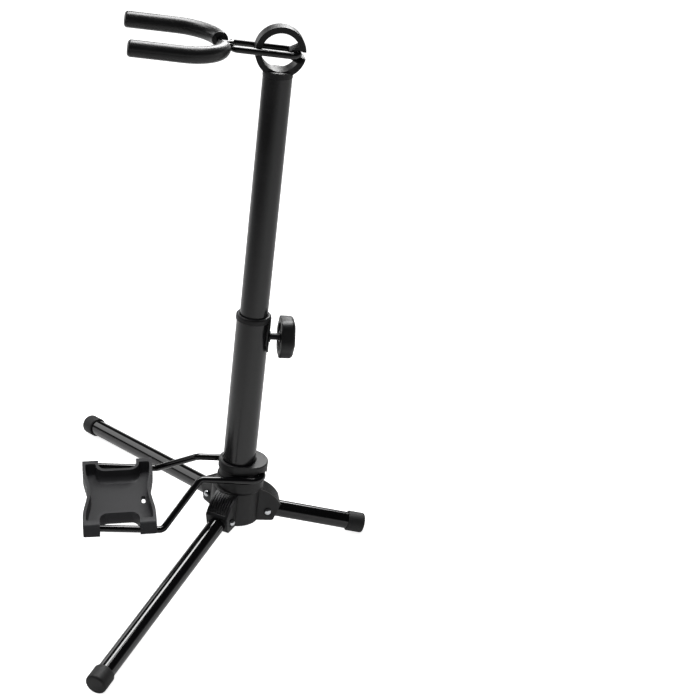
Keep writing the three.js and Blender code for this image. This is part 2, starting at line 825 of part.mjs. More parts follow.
function yokeGroup() {
  const { stations, base } = yokeHalf();
  const wire = bar(BentLine.mirrored(stations.slice(1)), yoke.wire / 2, wireSides);
  const right = sleeveBody(base);
  const group = new THREE.Group();
  group.position.set(0, ring.hingeBack, yokeHinge);
  group.rotation.x = -yoke.rise;
  group.add(
    mesh("yoke_wire", wire, blackWire),
    mesh("yoke_sleeve_left", right.mirror([1, 0, 0]), foam),
    mesh("yoke_sleeve_right", right, foam),
  );
  return group;
}

// The middle of the plate, on the plane through both rods
const plateMiddle = () =>
  new THREE.Vector3(
    0,
    -cradle.armLength - cradle.flareForward - plate.rearGap - plate.length / 2,
    -cradle.flareDrop,
  );

// The cradle wire from the middle of its closed end: arm, flare and the rod that carries the plate
function cradleWire() {
  const half = cradle.armSpacing / 2;
  const corner = new THREE.Vector3(half, -cradle.armLength, 0);
  const foot = corner.clone().add(new THREE.Vector3(cradle.flareOut, -cradle.flareForward, -cradle.flareDrop));
  const end = foot.clone().add(new THREE.Vector3(0, -cradle.rodLength, 0));
  const stations = throughCorners([
    { at: new THREE.Vector3(half - cradle.endRadius - cradle.wire / 2, 0, 0) },
    { at: new THREE.Vector3(half, 0, 0), radius: cradle.endRadius },
    { at: corner, radius: cradle.bendRadius },
    { at: foot, radius: cradle.bendRadius },
    { at: end },
  ]);
  return bar(BentLine.mirrored(stations), cradle.wire / 2, wireSides);
}

// The plate in plan, waisted in front and behind, at a distance inside its rim
function plateOutline(half, inset) {
  const front = -plate.length / 2 + inset;
  const rear = plate.length / 2 - inset;
  const waist = (edge, depth) =>
    Array.from({ length: waistSteps + 1 }, (_, i) => {
      const share = (2 * i) / waistSteps - 1;
      return [share * plate.waistHalf, edge - (Math.sign(edge) * depth * (1 + Math.cos(Math.PI * share))) / 2];
    });
  return [
    ...waist(front, plate.frontWaist),
    [half, front],
    [half, rear],
    ...waist(rear, plate.rearWaist).reverse(),
    [-half, rear],
    [-half, front],
  ];
}

// The right half's points, and then the left half's, of an outline across the plate
const bothSides = (right) => [...right, ...right.map(([x, z]) => [-x, z]).reverse()];

// The plate is level: a tray with a rim all round, clipped on the rods that rise through its lugs
function plateBody(tilt) {
  const low = -plate.length;
  const high = plate.length;
  const front = -plate.length / 2;
  const rear = plate.length / 2;
  const crown = plate.crown;
  const floor = -plate.floorTop;
  const outside = bothSides([
    [plate.floorHalf, floor - plate.floor],
    [plate.floorHalf, -plate.lugBelow],
    [plate.footHalf, -plate.lugBelow],
    ...arc(plate.rimHalf - crown, plate.rimTop - crown, crown, 0, Math.PI / 2, edgeSteps),
  ]);
  const radius = plate.bowlRadius;
  const bowl = bothSides([
    ...arc(plate.bowlHalf - radius, floor + radius, radius, -Math.PI / 2, 0),
    [plate.bowlHalf, high],
  ]);
  const blank = extrusion(outside, front, rear).intersect(raised(plateOutline(plate.footHalf, 0), low, high));
  const pocketFrom = rear - plate.lug + plate.pocketWall;
  const across = [-plate.pocketEnd, plate.pocketEnd];
  const hollow = joined(
    extrusion(bowl, front, rear),
    block(...across, pocketFrom, rear, floor, high),
    block(...across, front, -pocketFrom, floor, high),
  ).intersect(raised(plateOutline(plate.pocketEnd, plate.lip), floor, high));
  return cut(blank, hollow, plateSlot(), ...plateEndCuts(tilt));
}

// The slot in the floor near the plate's rear edge
function plateSlot() {
  const radius = plate.slotWidth / 2;
  const end = plate.slotLength / 2 - radius;
  const y = plate.length / 2 - plate.slotInset;
  const low = -plate.length;
  const round = (x) => cylinder(radius, low, 0, smallSides).translate([x, y, 0]);
  return joined(round(-end), round(end), block(-end, end, y - radius, y + radius, low, 0));
}

// At each end: the rounded notch between the lugs and the channel that clips on the rod
function plateEndCuts(tilt) {
  const low = -plate.length;
  const high = plate.length;
  const side = plate.length / 2 - plate.lug;
  const corner = (towards) =>
    arc(0, 0, 1, Math.PI / 2, Math.PI).map(([x, y]) => [
      plate.notchInner + plate.notchLong * (1 + x),
      towards * (side - plate.notchShort + plate.notchShort * y),
    ]);
  const notch = raised(
    [
      [plate.footHalf + cutOver, -side],
      [plate.footHalf + cutOver, side],
      ...corner(1),
      ...corner(-1).reverse(),
    ],
    low,
    high,
  );
  const rodOut = cradle.armSpacing / 2 + cradle.flareOut;
  const channel = cradle.wire / 2 + seatGap;
  const rodEnd = plate.rearGap + plate.length / 2 - cradle.rodLength - seatGap;
  const clip = joined(
    alongY(channel, rodOut, 0, rodEnd, high, smallSides),
    block(rodOut - channel + seatGap, rodOut + channel - seatGap, rodEnd, high, low, 0),
  ).rotate([-THREE.MathUtils.radToDeg(tilt), 0, 0]);
  const right = joined(notch, clip);
  return [right, right.mirror([1, 0, 0])];
}

function cradleGroup(tilt) {
  const group = new THREE.Group();
  group.position.set(0, cradle.hingeBack, cradleHinge);
  group.add(mesh("cradle_wire", cradleWire(), blackWire));
  const saddle = mesh("cradle_plate", plateBody(tilt), platePlastic);
  saddle.position.copy(plateMiddle());
  saddle.rotation.x = tilt;
  group.add(saddle);
  return group;
}

// How far the lowest point of a leg's cap lies under the pins, on a mast that leans back by an angle
function footDepth(turn, length, lean) {
  const dip = new THREE.Vector3(0, Math.cos(legOpenAngle), -Math.sin(legOpenAngle));
  const along = dip.clone().applyAxisAngle(new THREE.Vector3(0, 0, 1), turn);
  const pin = new THREE.Vector3(0, housing.pinRadius, 0).applyAxisAngle(new THREE.Vector3(0, 0, 1), turn);
  const back = new THREE.Vector3(1, 0, 0);
  const end = pin.addScaledVector(along, length - footCap.edge).applyAxisAngle(back, -lean);
  const slope = along.applyAxisAngle(back, -lean).z;
  const tread = footCap.diameter / 2 - footCap.edge;
  return -end.z + tread * Math.sqrt(1 - slope ** 2) + footCap.edge;
}

// The lean at which the short rear leg and the two long legs stand on one floor
function standingLean() {
  let low = 0;
  let high = legOpenAngle;
  for (let i = 0; i < searchSteps; i += 1) {
    const middle = (low + high) / 2;
    const rearDeeper =
      footDepth(legTurns.rear, shortLeg, middle) > footDepth(legTurns.left, longLeg, middle);
    if (rearDeeper) high = middle;
    else low = middle;
  }
  return (low + high) / 2;
}

// The stand leans back as a whole, so everything above the floor hangs in one leaning group
const lean = standingLean();
const stand = new THREE.Group();
const leaning = new THREE.Group();
leaning.rotation.x = -lean;
leaning.position.z = footDepth(legTurns.rear, shortLeg, lean) - soleDepth;
stand.add(leaning);

leaning.add(mesh("hub", hubBody(), hubPlastic));
leaning.add(mesh("outer_tube", outerTubeBody(), blackPaint));
leaning.add(mesh("clamp_collar", collarBody(), clipPlastic));

const clampLine = new THREE.Group();
clampLine.position.z = clampHeight;
const clampParts = clampPieces();
clampLine.add(
  mesh("clamp_pad", clampParts.pad, clipPlastic),
  mesh("clamp_nut", clampParts.nut, brass),
  mesh("clamp_screw", clampParts.screw, zinc),
  mesh("clamp_knob", clampParts.knob, clipPlastic),
);
leaning.add(clampLine);

leaning.add(mesh("inner_tube", innerTubeBody(), blackPaint));
leaning.add(mesh("inner_tube_end_cap", endCapBody(), clipPlastic));
leaning.add(mesh("head_ring", headRingBody(), clipPlastic));
leaning.add(yokeGroup());
leaning.add(cradleGroup(lean));

// The floor presses each rubber cap flat where it stands
function standOnFloor(name, leg, body) {
  const cap = mesh(name, body, footRubber);
  leg.add(cap);
  stand.updateMatrixWorld(true);
  const reach = longLeg + shortLeg;
  const floor = new THREE.BoxGeometry(2 * reach, 2 * reach, reach).translate(0, 0, -reach / 2);
  floor.applyMatrix4(cap.matrixWorld.clone().invert());
  cap.geometry = toGeometry(cut(body, solid(floor)));
}

for (const [side, turn] of Object.entries(legTurns)) {
  const arm = new THREE.Group();
  arm.rotation.z = turn;
  leaning.add(arm);
  const { leg, cap } = legPieces(side, side === "rear" ? shortLeg : longLeg);
  arm.add(leg, legFastener(side));
  standOnFloor(`foot_cap_${side}`, leg, cap);
}

// The origin is under the middle of the stand, on the floor
stand.updateMatrixWorld(true);
const extent = new THREE.Box3().setFromObject(stand, true);
leaning.position.y -= (extent.min.y + extent.max.y) / 2;
stand.updateMatrixWorld(true);

export default stand;
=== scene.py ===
"""A folding cello stand in black steel tube and moulded plastic, open and ready for use.

Sub-assemblies are drawn in millimetres in their own frames, as a maker's drawings are, and placed
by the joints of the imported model. Each finished piece is in metres with its place in its mesh.
"""
import json
import logging
import math
from dataclasses import dataclass, field
from enum import Enum
from typing import Sequence

import bmesh
import bpy
from mathutils import Matrix, Vector


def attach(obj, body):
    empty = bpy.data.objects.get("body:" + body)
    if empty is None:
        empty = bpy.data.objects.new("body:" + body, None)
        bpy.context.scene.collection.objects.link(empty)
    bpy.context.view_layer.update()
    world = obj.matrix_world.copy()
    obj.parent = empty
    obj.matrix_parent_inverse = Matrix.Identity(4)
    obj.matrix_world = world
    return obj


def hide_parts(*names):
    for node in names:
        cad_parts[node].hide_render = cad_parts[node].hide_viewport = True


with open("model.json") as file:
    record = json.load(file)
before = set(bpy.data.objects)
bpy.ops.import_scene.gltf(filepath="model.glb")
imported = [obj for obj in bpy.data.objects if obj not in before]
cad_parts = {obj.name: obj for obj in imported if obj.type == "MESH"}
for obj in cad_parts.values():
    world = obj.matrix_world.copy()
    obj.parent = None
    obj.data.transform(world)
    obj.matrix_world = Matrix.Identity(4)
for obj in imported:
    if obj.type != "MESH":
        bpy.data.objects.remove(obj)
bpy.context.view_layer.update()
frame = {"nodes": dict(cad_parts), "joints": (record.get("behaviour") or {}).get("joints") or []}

log = logging.getLogger("cello_stand")

Point = tuple[float, float]
Point3 = tuple[float, float, float]

MILLIMETRE = 0.001
QUARTER = math.pi / 2
# Millimetres between pieces that sit or slide on each other, and that a cutting tool reaches past its work.
SEAT_GAP = 0.3
SLIDE_GAP = 0.4
CUT_OVER = 1.0
# Millimetres within which points are one point, or lie on one plane.
SAME_POINT = 1e-4
SAME_PLANE = 1e-3
# Steps round full turns, wires, arcs and bends.
ROUND_SIDES = 96
SMALL_SIDES = 40
WIRE_SIDES = 28
ARC_STEPS = 12
BEND_STEP = math.radians(5)
FEWEST_BEND_STEPS = 4
SHARP_ANGLE = math.radians(32)
# A Mix node's colour sockets by number, since its other kinds have sockets of the same names.
COLOUR_A = 6
COLOUR_B = 7
COLOUR_OUT = 2
# Where most values of a noise lie.
NOISE_SPAN = (0.3, 0.7)
WHITE = (1.0, 1.0, 1.0, 1.0)
BLACK = (0.0, 0.0, 0.0, 1.0)
PHOTO_PIXELS = 700


class Plane(Enum):
    """The plane that an outline is drawn in, and so the way it is extruded."""

    PLAN = Matrix.Identity(4)
    SIDE = Matrix(((0, 0, 1, 0), (1, 0, 0, 0), (0, 1, 0, 0), (0, 0, 0, 1)))
    FRONT = Matrix(((1, 0, 0, 0), (0, 0, -1, 0), (0, 1, 0, 0), (0, 0, 0, 1)))


class Mix(Enum):
    """How one solid acts on another."""

    CUT = "DIFFERENCE"
    JOIN = "UNION"
    KEEP = "INTERSECT"


def arc(x: float, y: float, radius: float, start: float, end: float, steps: int = ARC_STEPS) -> list[Point]:
    """Points along an arc.

    Args:
        x: Centre of the arc, across.
        y: Centre of the arc, up.
        radius: Radius of the arc.
        start: Angle of the first point, in radians.
        end: Angle of the last point, in radians.
        steps: Number of chords.

    Returns:
        The points, with both ends.
    """
    angles = (start + (end - start) * i / steps for i in range(steps + 1))
    return [(x + radius * math.cos(a), y + radius * math.sin(a)) for a in angles]


def shifted(x: float = 0, y: float = 0, z: float = 0) -> Matrix:
    """A move by x, y and z."""
    return Matrix.Translation((x, y, z))


def turned(angle: float, axis: str) -> Matrix:
    """A turn by an angle in radians about one of the axes X, Y and Z."""
    return Matrix.Rotation(angle, 4, axis)


class Form:
    """A closed shape in millimetres, made with bmesh operators."""

    def __init__(self, mesh: bmesh.types.BMesh) -> None:
        """Keeps the mesh that holds the shape."""
        self.mesh = mesh

    @classmethod
    def revolved(cls, profile: Sequence[Point], sides: int = ROUND_SIDES) -> "Form":
        """A profile turned about the Z axis.

        Args:
            profile: Points of radius and height, from axis to axis, or else closed on itself.
            sides: Number of steps in the full turn.

        Returns:
            The turned shape.
        """
        mesh = bmesh.new()
        verts = [mesh.verts.new((radius, 0, height)) for radius, height in profile]
        edges = [mesh.edges.new(pair) for pair in zip(verts, verts[1:])]
        if profile[0][0] > 0:
            edges.append(mesh.edges.new((verts[-1], verts[0])))
        bmesh.ops.spin(
            mesh, geom=verts + edges, cent=(0, 0, 0), axis=(0, 0, 1),
            angle=math.tau, steps=sides, use_merge=True,
        )
        return cls(mesh).tidy()

    @classmethod
    def drum(cls, radius: float, low: float, high: float, sides: int = ROUND_SIDES) -> "Form":
        """A plain round of one radius between two heights, mostly a tool that cuts."""
        return cls.revolved([(0, low), (radius, low), (radius, high), (0, high)], sides)

    @classmethod
    def pipe(cls, outer: float, inner: float, low: float, high: float, sides: int = ROUND_SIDES) -> "Form":
        """A round wall between two radii and two heights."""
        return cls.revolved([(inner, low), (outer, low), (outer, high), (inner, high)], sides)

    @classmethod
    def prism(cls, outline: Sequence[Point], low: float, high: float, plane: Plane = Plane.PLAN) -> "Form":
        """An outline extruded square to its plane.

        Args:
            outline: Corners of the outline, in order.
            low: Where the extrusion starts.
            high: Where it ends.
            plane: The plane that the outline is drawn in.

        Returns:
            The extruded shape.
        """
        mesh = bmesh.new()
        corners = [mesh.verts.new((x, y, low)) for x, y in outline]
        face = bmesh.ops.contextual_create(mesh, geom=corners)["faces"]
        grown = bmesh.ops.extrude_face_region(mesh, geom=face)["geom"]
        top = [part for part in grown if isinstance(part, bmesh.types.BMVert)]
        bmesh.ops.translate(mesh, verts=top, vec=(0, 0, high - low))
        form = cls(mesh)
        if plane is Plane.FRONT:
            form.move(shifted(z=-low - high))
        return form.move(plane.value).tidy()

    @classmethod
    def block(cls, x: Point, y: Point, z: Point) -> "Form":
        """A box between two places on each axis, mostly a tool that cuts."""
        mesh = bmesh.new()
        bmesh.ops.create_cube(mesh, size=1)
        bmesh.ops.scale(mesh, verts=mesh.verts, vec=(x[1] - x[0], y[1] - y[0], z[1] - z[0]))
        middle = ((x[0] + x[1]) / 2, (y[0] + y[1]) / 2, (z[0] + z[1]) / 2)
        bmesh.ops.translate(mesh, verts=mesh.verts, vec=middle)
        return cls(mesh)

    @classmethod
    def lofted(cls, levels: Sequence[tuple[float, Sequence[Point]]]) -> "Form":
        """A skin through outlines that are stacked up the Z axis.

        Args:
            levels: Height and outline of each level, with as many points in each.

        Returns:
            The closed shape.
        """
        mesh = bmesh.new()
        rings = []
        for height, outline in levels:
            verts = [mesh.verts.new((x, y, height)) for x, y in outline]
            rings.append([mesh.edges.new((verts[i - 1], verts[i])) for i in range(len(verts))])
        for lower, upper in zip(rings, rings[1:]):
            bmesh.ops.bridge_loops(mesh, edges=lower + upper)
        for ring in (rings[0], rings[-1]):
            bmesh.ops.contextual_create(mesh, geom=ring)
        return cls(mesh).tidy()

    def tidy(self) -> "Form":
        """Merges doubles and turns every face outwards."""
        bmesh.ops.remove_doubles(self.mesh, verts=self.mesh.verts, dist=SAME_POINT)
        bmesh.ops.recalc_face_normals(self.mesh, faces=self.mesh.faces)
        return self

    def move(self, matrix: Matrix) -> "Form":
        """Moves or turns the shape by a matrix."""
        bmesh.ops.transform(self.mesh, matrix=matrix, verts=self.mesh.verts)
        return self

    def mirrored(self) -> "Form":
        """The shape's other hand, across the plane X = 0."""
        twin = Form(self.mesh.copy())
        bmesh.ops.scale(twin.mesh, verts=twin.mesh.verts, vec=(-1, 1, 1))
        return twin.tidy()

    def doubled(self) -> "Form":
        """Joins the shape to its mirror image at the plane X = 0, where it is open."""
        geometry = self.mesh.verts[:] + self.mesh.edges[:] + self.mesh.faces[:]
        bmesh.ops.mirror(self.mesh, geom=geometry, axis="X", merge_dist=SAME_PLANE)
        return self.tidy()

    def round_edges(self, edges: Sequence[bmesh.types.BMEdge], size: float, steps: int) -> "Form":
        """Rounds the edges that are named.

        Args:
            edges: The edges.
            size: Radius of the rounding.
            steps: Number of faces across it.

        Returns:
            The same form.
        """
        bmesh.ops.bevel(
            self.mesh, geom=edges, offset=size, offset_type="OFFSET", segments=steps,
            profile=0.5, affect="EDGES", material=-1, clamp_overlap=True,
        )
        return self

    def edges_at(self, height: float) -> list[bmesh.types.BMEdge]:
        """The sharp edges that lie at one height."""
        return [
            edge
            for edge in self.mesh.edges
            if all(abs(vert.co.z - height) < SAME_PLANE for vert in edge.verts)
            and len(edge.link_faces) == 2
            and edge.calc_face_angle() > SHARP_ANGLE
        ]

    def as_object(self, name: str) -> bpy.types.Object:
        """Puts the shape in the scene as a mesh object."""
        data = bpy.data.meshes.new(name)
        self.mesh.to_mesh(data)
        piece = bpy.data.objects.new(name, data)
        bpy.context.scene.collection.objects.link(piece)
        return piece

    def mix(self, how: Mix, *tools: "Form") -> "Form":
        """Cuts, joins or keeps what is shared with other solids, one after another.

        Args:
            how: What the tools do.
            *tools: The other solids, which are used up.

        Returns:
            The same form, changed.
        """
        work = self.as_object("work")
        helpers = [tool.as_object("tool") for tool in tools]
        for helper in helpers:
            step = work.modifiers.new("mix", "BOOLEAN")
            step.operation = how.value
            step.solver = "MANIFOLD"
            step.object = helper
        evaluated = work.evaluated_get(bpy.context.evaluated_depsgraph_get())
        result = bmesh.new()
        result.from_mesh(evaluated.to_mesh())
        evaluated.to_mesh_clear()
        for item in [work, *helpers]:
            data = item.data
            bpy.data.objects.remove(item)
            bpy.data.meshes.remove(data)
        self.mesh = result
        return self

    def cut(self, *tools: "Form") -> "Form":
        """Takes other solids away."""
        return self.mix(Mix.CUT, *tools)

    def join(self, *others: "Form") -> "Form":
        """Adds other solids."""
        return self.mix(Mix.JOIN, *others)

    def keep(self, *others: "Form") -> "Form":
        """Keeps only what is inside the other solids too."""
        return self.mix(Mix.KEEP, *others)


def along_x(radius: float, y: float, z: float, low: float, high: float) -> Form:
    """A round along the X axis, through a point of the plane square to it."""
    return Form.drum(radius, low, high, SMALL_SIDES).move(shifted(0, y, z) @ turned(QUARTER, "Y"))


def along_y(radius: float, x: float, z: float, low: float, high: float) -> Form:
    """A round along the Y axis, through a point of the plane square to it."""
    return Form.drum(radius, low, high, SMALL_SIDES).move(shifted(x, 0, z) @ turned(-QUARTER, "X"))


def bearing_flare(bend: float, wire: float, straight: float, half: float) -> list[Point]:
    """The wall of a bearing from where the wire in it bends away to the bearing's end.

    Args:
        bend: Radius of the bend's centre line.
        wire: Radius of the wire.
        straight: Where the bend starts, from the bearing's middle.
        half: Where the bearing ends.

    Returns:
        Points of radius and place along the bearing.
    """
    inside = bend - wire
    flare = []
    for step in range(ARC_STEPS + 1):
        out = (half - straight) * step / ARC_STEPS
        drop = math.sqrt(max(0.0, inside**2 - out**2))
        flare.append((bend - drop + SLIDE_GAP, straight + out))
    return flare


class Bender:
    """Bends a round bar as a workshop does: straight runs, and bends about an axis square to it."""

    def __init__(self, start: Vector, heading: Vector, radius: float, sides: int = WIRE_SIDES) -> None:
        """Lays down the bar's first ring.

        Args:
            start: Middle of the first ring.
            heading: The way the bar sets off.
            radius: Radius of the bar.
            sides: Number of points round it.
        """
        self.at = Vector(start)
        self.heading = Vector(heading).normalized()
        self.mesh = bmesh.new()
        aim = Vector((0, 0, 1)).rotation_difference(self.heading).to_matrix().to_4x4()
        ring = bmesh.ops.create_circle(
            self.mesh, cap_ends=False, radius=radius, segments=sides, matrix=Matrix.Translation(self.at) @ aim
        )
        self.ring = list({edge for vert in ring["verts"] for edge in vert.link_edges})
        self.first = list(self.ring)

    def straight(self, length: float) -> "Bender":
        """Runs straight on for a length."""
        grown = bmesh.ops.extrude_edge_only(self.mesh, edges=self.ring)["geom"]
        verts = [part for part in grown if isinstance(part, bmesh.types.BMVert)]
        self.ring = [
            part for part in grown
            if isinstance(part, bmesh.types.BMEdge) and all(vert in verts for vert in part.verts)
        ]
        bmesh.ops.translate(self.mesh, verts=verts, vec=self.heading * length)
        self.at = self.at + self.heading * length
        return self

    def bend(self, radius: float, angle: float, axis: Sequence[float] = (0, 0, 1)) -> "Bender":
        """Bends the bar.

        Args:
            radius: Radius of the bar's centre line in the bend.
            angle: Turn in radians, to the left seen along the axis, or to the right where negative.
            axis: The axis of the bend, square to the bar.

        Returns:
            The same bender.
        """
        spindle = Vector(axis).normalized() * math.copysign(1, angle)
        centre = self.at + spindle.cross(self.heading) * radius
        steps = max(FEWEST_BEND_STEPS, round(abs(angle) / BEND_STEP))
        verts = list({vert for edge in self.ring for vert in edge.verts})
        spun = bmesh.ops.spin(
            self.mesh, geom=verts + self.ring, cent=centre, axis=spindle, angle=abs(angle), steps=steps
        )
        self.ring = [part for part in spun["geom_last"] if isinstance(part, bmesh.types.BMEdge)]
        turn = Matrix.Rotation(abs(angle), 3, spindle)
        self.at = centre + turn @ (self.at - centre)
        self.heading = (turn @ self.heading).normalized()
        return self

    def corner(self, at: Vector, onwards: Vector, radius: float) -> "Bender":
        """Runs to a corner and bends round it.

        Args:
            at: The corner, where the two straight centre lines meet.
            onwards: The way on after the corner.
            radius: Radius of the bend.

        Returns:
            The same bender.
        """
        ahead = Vector(onwards).normalized()
        angle = self.heading.angle(ahead)
        reach = (at - self.at).dot(self.heading) - radius * math.tan(angle / 2)
        return self.straight(reach).bend(radius, angle, self.heading.cross(ahead))

    def end(self, edge: float = 0, steps: int = 3) -> Form:
        """Closes the bar's end and rounds its edge.

        Args:
            edge: Radius of the rounding.
            steps: Number of faces across it.

        Returns:
            The bar as a form, still open at its start.
        """
        bmesh.ops.contextual_create(self.mesh, geom=self.ring)
        form = Form(self.mesh)
        return form.round_edges(self.ring, edge, steps) if edge else form

    def both_ends(self, start_edge: float = 0, end_edge: float = 0, steps: int = 3) -> Form:
        """Closes both ends of the bar and rounds their edges.

        Args:
            start_edge: Radius of the rounding at the start.
            end_edge: Radius of the rounding at the end.
            steps: Number of faces across each.

        Returns:
            The closed bar.
        """
        bmesh.ops.contextual_create(self.mesh, geom=self.first)
        if start_edge:
            Form(self.mesh).round_edges(self.first, start_edge, steps)
        return self.end(end_edge, steps).tidy()


@dataclass(frozen=True)
class Place:
    """Where a sub-assembly's own drawing sits in the stand, in metres."""

    origin: Vector
    across: Vector
    along: Vector

    def matrix(self) -> Matrix:
        """The move from the drawing's millimetres to the stand."""
        axes = Matrix((self.across, self.along, self.across.cross(self.along))).transposed()
        return Matrix.Translation(self.origin) @ axes.to_4x4() @ Matrix.Scale(MILLIMETRE, 4)

    def at(self, x: float, y: float, z: float, dip: float = 0) -> "Place":
        """A place in this one.

        Args:
            x: Its origin here, in millimetres.
            y: Its origin here, in millimetres.
            z: Its origin here, in millimetres.
            dip: How far its Y axis turns down, in radians.

        Returns:
            The new place.
        """
        turn = Matrix.Rotation(-dip, 3, self.across)
        return Place(self.matrix() @ Vector((x, y, z)), self.across, turn @ self.along)


class Side(Enum):
    """The three legs, by the turn of each about the mast."""

    REAR = 0
    LEFT = math.radians(120)
    RIGHT = math.radians(-120)

    @property
    def label(self) -> str:
        """The word in the leg's node names."""
        return self.name.lower()


@dataclass(frozen=True)
class Levels:
    """Heights up the mast from the leg pins, in millimetres."""

    hub_bottom: float = -11.6
    tube_seat: float = -4.0
    shoulder: float = 30.9
    tier_top: float = 44.8
    cradle_hinge: float = 49.1
    rim_bottom: float = 53.4
    rim_top: float = 63.9
    outer_top: float = 243.6
    collar_top: float = 250.9
    clamp: float = 223.4
    inner_bottom: float = 0.5
    inner_top: float = 528.5
    ring_centre: float = 555.8
    yoke_hinge: float = 554.3


@dataclass(frozen=True)
class Shared:
    """Sizes that several sub-assemblies are made to, in millimetres, tubes and wires by radius."""

    outer_tube: float = 19.0
    inner_tube: float = 16.0
    mast_wall: float = 1.5
    leg_tube: float = 10.0
    leg_dip: float = math.radians(9.8)
    pin_radius: float = 38.0
    housing_half: float = 13.5
    screw_recess: float = 0.6
    yoke_wire: float = 3.5
    yoke_bend: float = 10.0
    cradle_wire: float = 4.0
    cradle_bend: float = 15.0


LEVELS = Levels()
SHARED = Shared()


@dataclass(frozen=True)
class Drawing:
    """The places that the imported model's joints give to the sub-assemblies."""

    joints: dict[str, dict]
    yoke_rise: float = math.radians(2.6)

    @property
    def mast(self) -> Place:
        """The leaning frame: Z up the mast from the level of the leg pins, Y to the rear."""
        along = Vector(self.joints["clamp_press"]["axis"]).normalized()
        rear = Vector(self.joints["leg_rear_hinge"]["pos_m"])
        return Place(rear - along * SHARED.pin_radius * MILLIMETRE, Vector((1, 0, 0)), along)

    @property
    def lean(self) -> float:
        """How far the mast leans back, in radians."""
        along = self.mast.along
        return math.atan2(-along.z, along.y)

    def leg(self, side: Side) -> Place:
        """A leg's frame, with Y down the leg from its pin."""
        joint = self.joints[f"leg_{side.label}_hinge"]
        across = -Vector(joint["axis"]).normalized()
        up = self.mast.matrix().col[2].xyz.normalized()
        flat = Place(Vector(joint["pos_m"]), across, up.cross(across).normalized())
        return flat.at(0, 0, 0, dip=SHARED.leg_dip)

    @property
    def yoke(self) -> Place:
        """The yoke's frame, with Y from its fork back to its closed end."""
        hinge = Vector(self.joints["yoke_swing"]["pos_m"])
        return Place(hinge, Vector((1, 0, 0)), self.mast.along).at(0, 0, 0, dip=self.yoke_rise)

    @property
    def cradle(self) -> Place:
        """The cradle's frame, square to the mast, with its origin at the closed end."""
        return Place(Vector(self.joints["cradle_fold"]["pos_m"]), Vector((1, 0, 0)), self.mast.along)


def linear(hex_colour: str) -> tuple[float, float, float, float]:
    """Turns an sRGB hex colour into Blender's linear one.

    Args:
        hex_colour: Six hex digits.

    Returns:
        Red, green, blue and a full alpha.
    """
    channels = (int(hex_colour[i:i + 2], 16) / 255 for i in (0, 2, 4))
    red, green, blue = (c / 12.92 if c <= 0.04045 else ((c + 0.055) / 1.055) ** 2.4 for c in channels)
    return red, green, blue, 1.0


def add_node(
    tree: bpy.types.NodeTree, kind: str, settings: dict | None = None, inputs: dict | None = None
) -> bpy.types.Node:
    """Adds a node with its settings and links.

    Args:
        tree: The node tree.
        kind: The node's type.
        settings: Properties of the node.
        inputs: Value or incoming socket for each input, by name or number.

    Returns:
        The node.
    """
    node = tree.nodes.new(kind)
    for name, value in (settings or {}).items():
        setattr(node, name, value)
    for name, value in (inputs or {}).items():
        if isinstance(value, bpy.types.NodeSocket):
            tree.links.new(value, node.inputs[name])
        else:
            node.inputs[name].default_value = value
    return node


def fresh_tree(owner: bpy.types.Material | bpy.types.World) -> bpy.types.NodeTree:
    """The owner's nodes, switched on and cleared."""
    owner.use_nodes = True
    owner.node_tree.nodes.clear()
    return owner.node_tree


def per_metre(millimetres: float) -> float:
    """The scale of a noise whose cells are that wide, on coordinates in metres."""
    return 1 / (millimetres * MILLIMETRE)


@dataclass(frozen=True)
class Finish:
    """A procedural finish: colour, gloss, fine surface and slow variation, all in real sizes."""

    name: str
    colour: str
    shade: str
    roughness: tuple[float, float] = (0.3, 0.4)
    metallic: float = 0.0
    ior: float = 1.5
    specular: float = 0.5
    grain: float = 0.8
    grain_detail: float = 2.0
    relief: float = 0.02
    drift: float = 30.0
    sheen: float = 0.0

    def material(self) -> bpy.types.Material:
        """Builds the finish's nodes, or finds them where they are built already.

        Returns:
            The material.
        """
        found = bpy.data.materials.get(self.name)
        if found:
            return found
        made = bpy.data.materials.new(self.name)
        tree = fresh_tree(made)
        place = add_node(tree, "ShaderNodeTexCoord").outputs["Object"]
        slow = add_node(tree, "ShaderNodeTexNoise", None, {
            "Vector": place, "Scale": per_metre(self.drift), "Detail": 3.0, "Roughness": 0.55,
        })
        fine = add_node(tree, "ShaderNodeTexNoise", None, {
            "Vector": place, "Scale": per_metre(self.grain),
            "Detail": self.grain_detail, "Roughness": 0.6,
        })
        colour = add_node(tree, "ShaderNodeMix", {"data_type": "RGBA"}, {
            0: slow.outputs["Fac"], COLOUR_A: linear(self.shade), COLOUR_B: linear(self.colour),
        })
        gloss = add_node(tree, "ShaderNodeMapRange", None, {
            "Value": slow.outputs["Fac"], "From Min": NOISE_SPAN[0], "From Max": NOISE_SPAN[1],
            "To Min": self.roughness[0], "To Max": self.roughness[1],
        })
        bump = add_node(tree, "ShaderNodeBump", None, {
            "Height": fine.outputs["Fac"], "Distance": self.relief * MILLIMETRE, "Strength": 1.0,
        })
        shader = add_node(tree, "ShaderNodeBsdfPrincipled", None, {
            "Base Color": colour.outputs[COLOUR_OUT],
            "Roughness": gloss.outputs["Result"],
            "Normal": bump.outputs["Normal"],
            "Metallic": self.metallic,
            "IOR": self.ior,
            "Specular IOR Level": self.specular,
            "Sheen Weight": self.sheen,
        })
        add_node(tree, "ShaderNodeOutputMaterial", None, {"Surface": shader.outputs["BSDF"]})
        return made


# Powder coat on steel tube: semi-gloss, with the soft orange peel that the cured powder leaves.
MAST_PAINT = Finish(
    "black_powder_coat", "181819", "141415", roughness=(0.20, 0.26),
    grain=1.4, relief=0.008, drift=60,
)
# Baked gloss enamel on the leg tubes: a deep black that only shows the lamps as sharp streaks.
LEG_ENAMEL = Finish(
    "black_gloss_enamel_tube", "080809", "060607", roughness=(0.07, 0.10),
    grain=2.2, relief=0.004, drift=80,
)
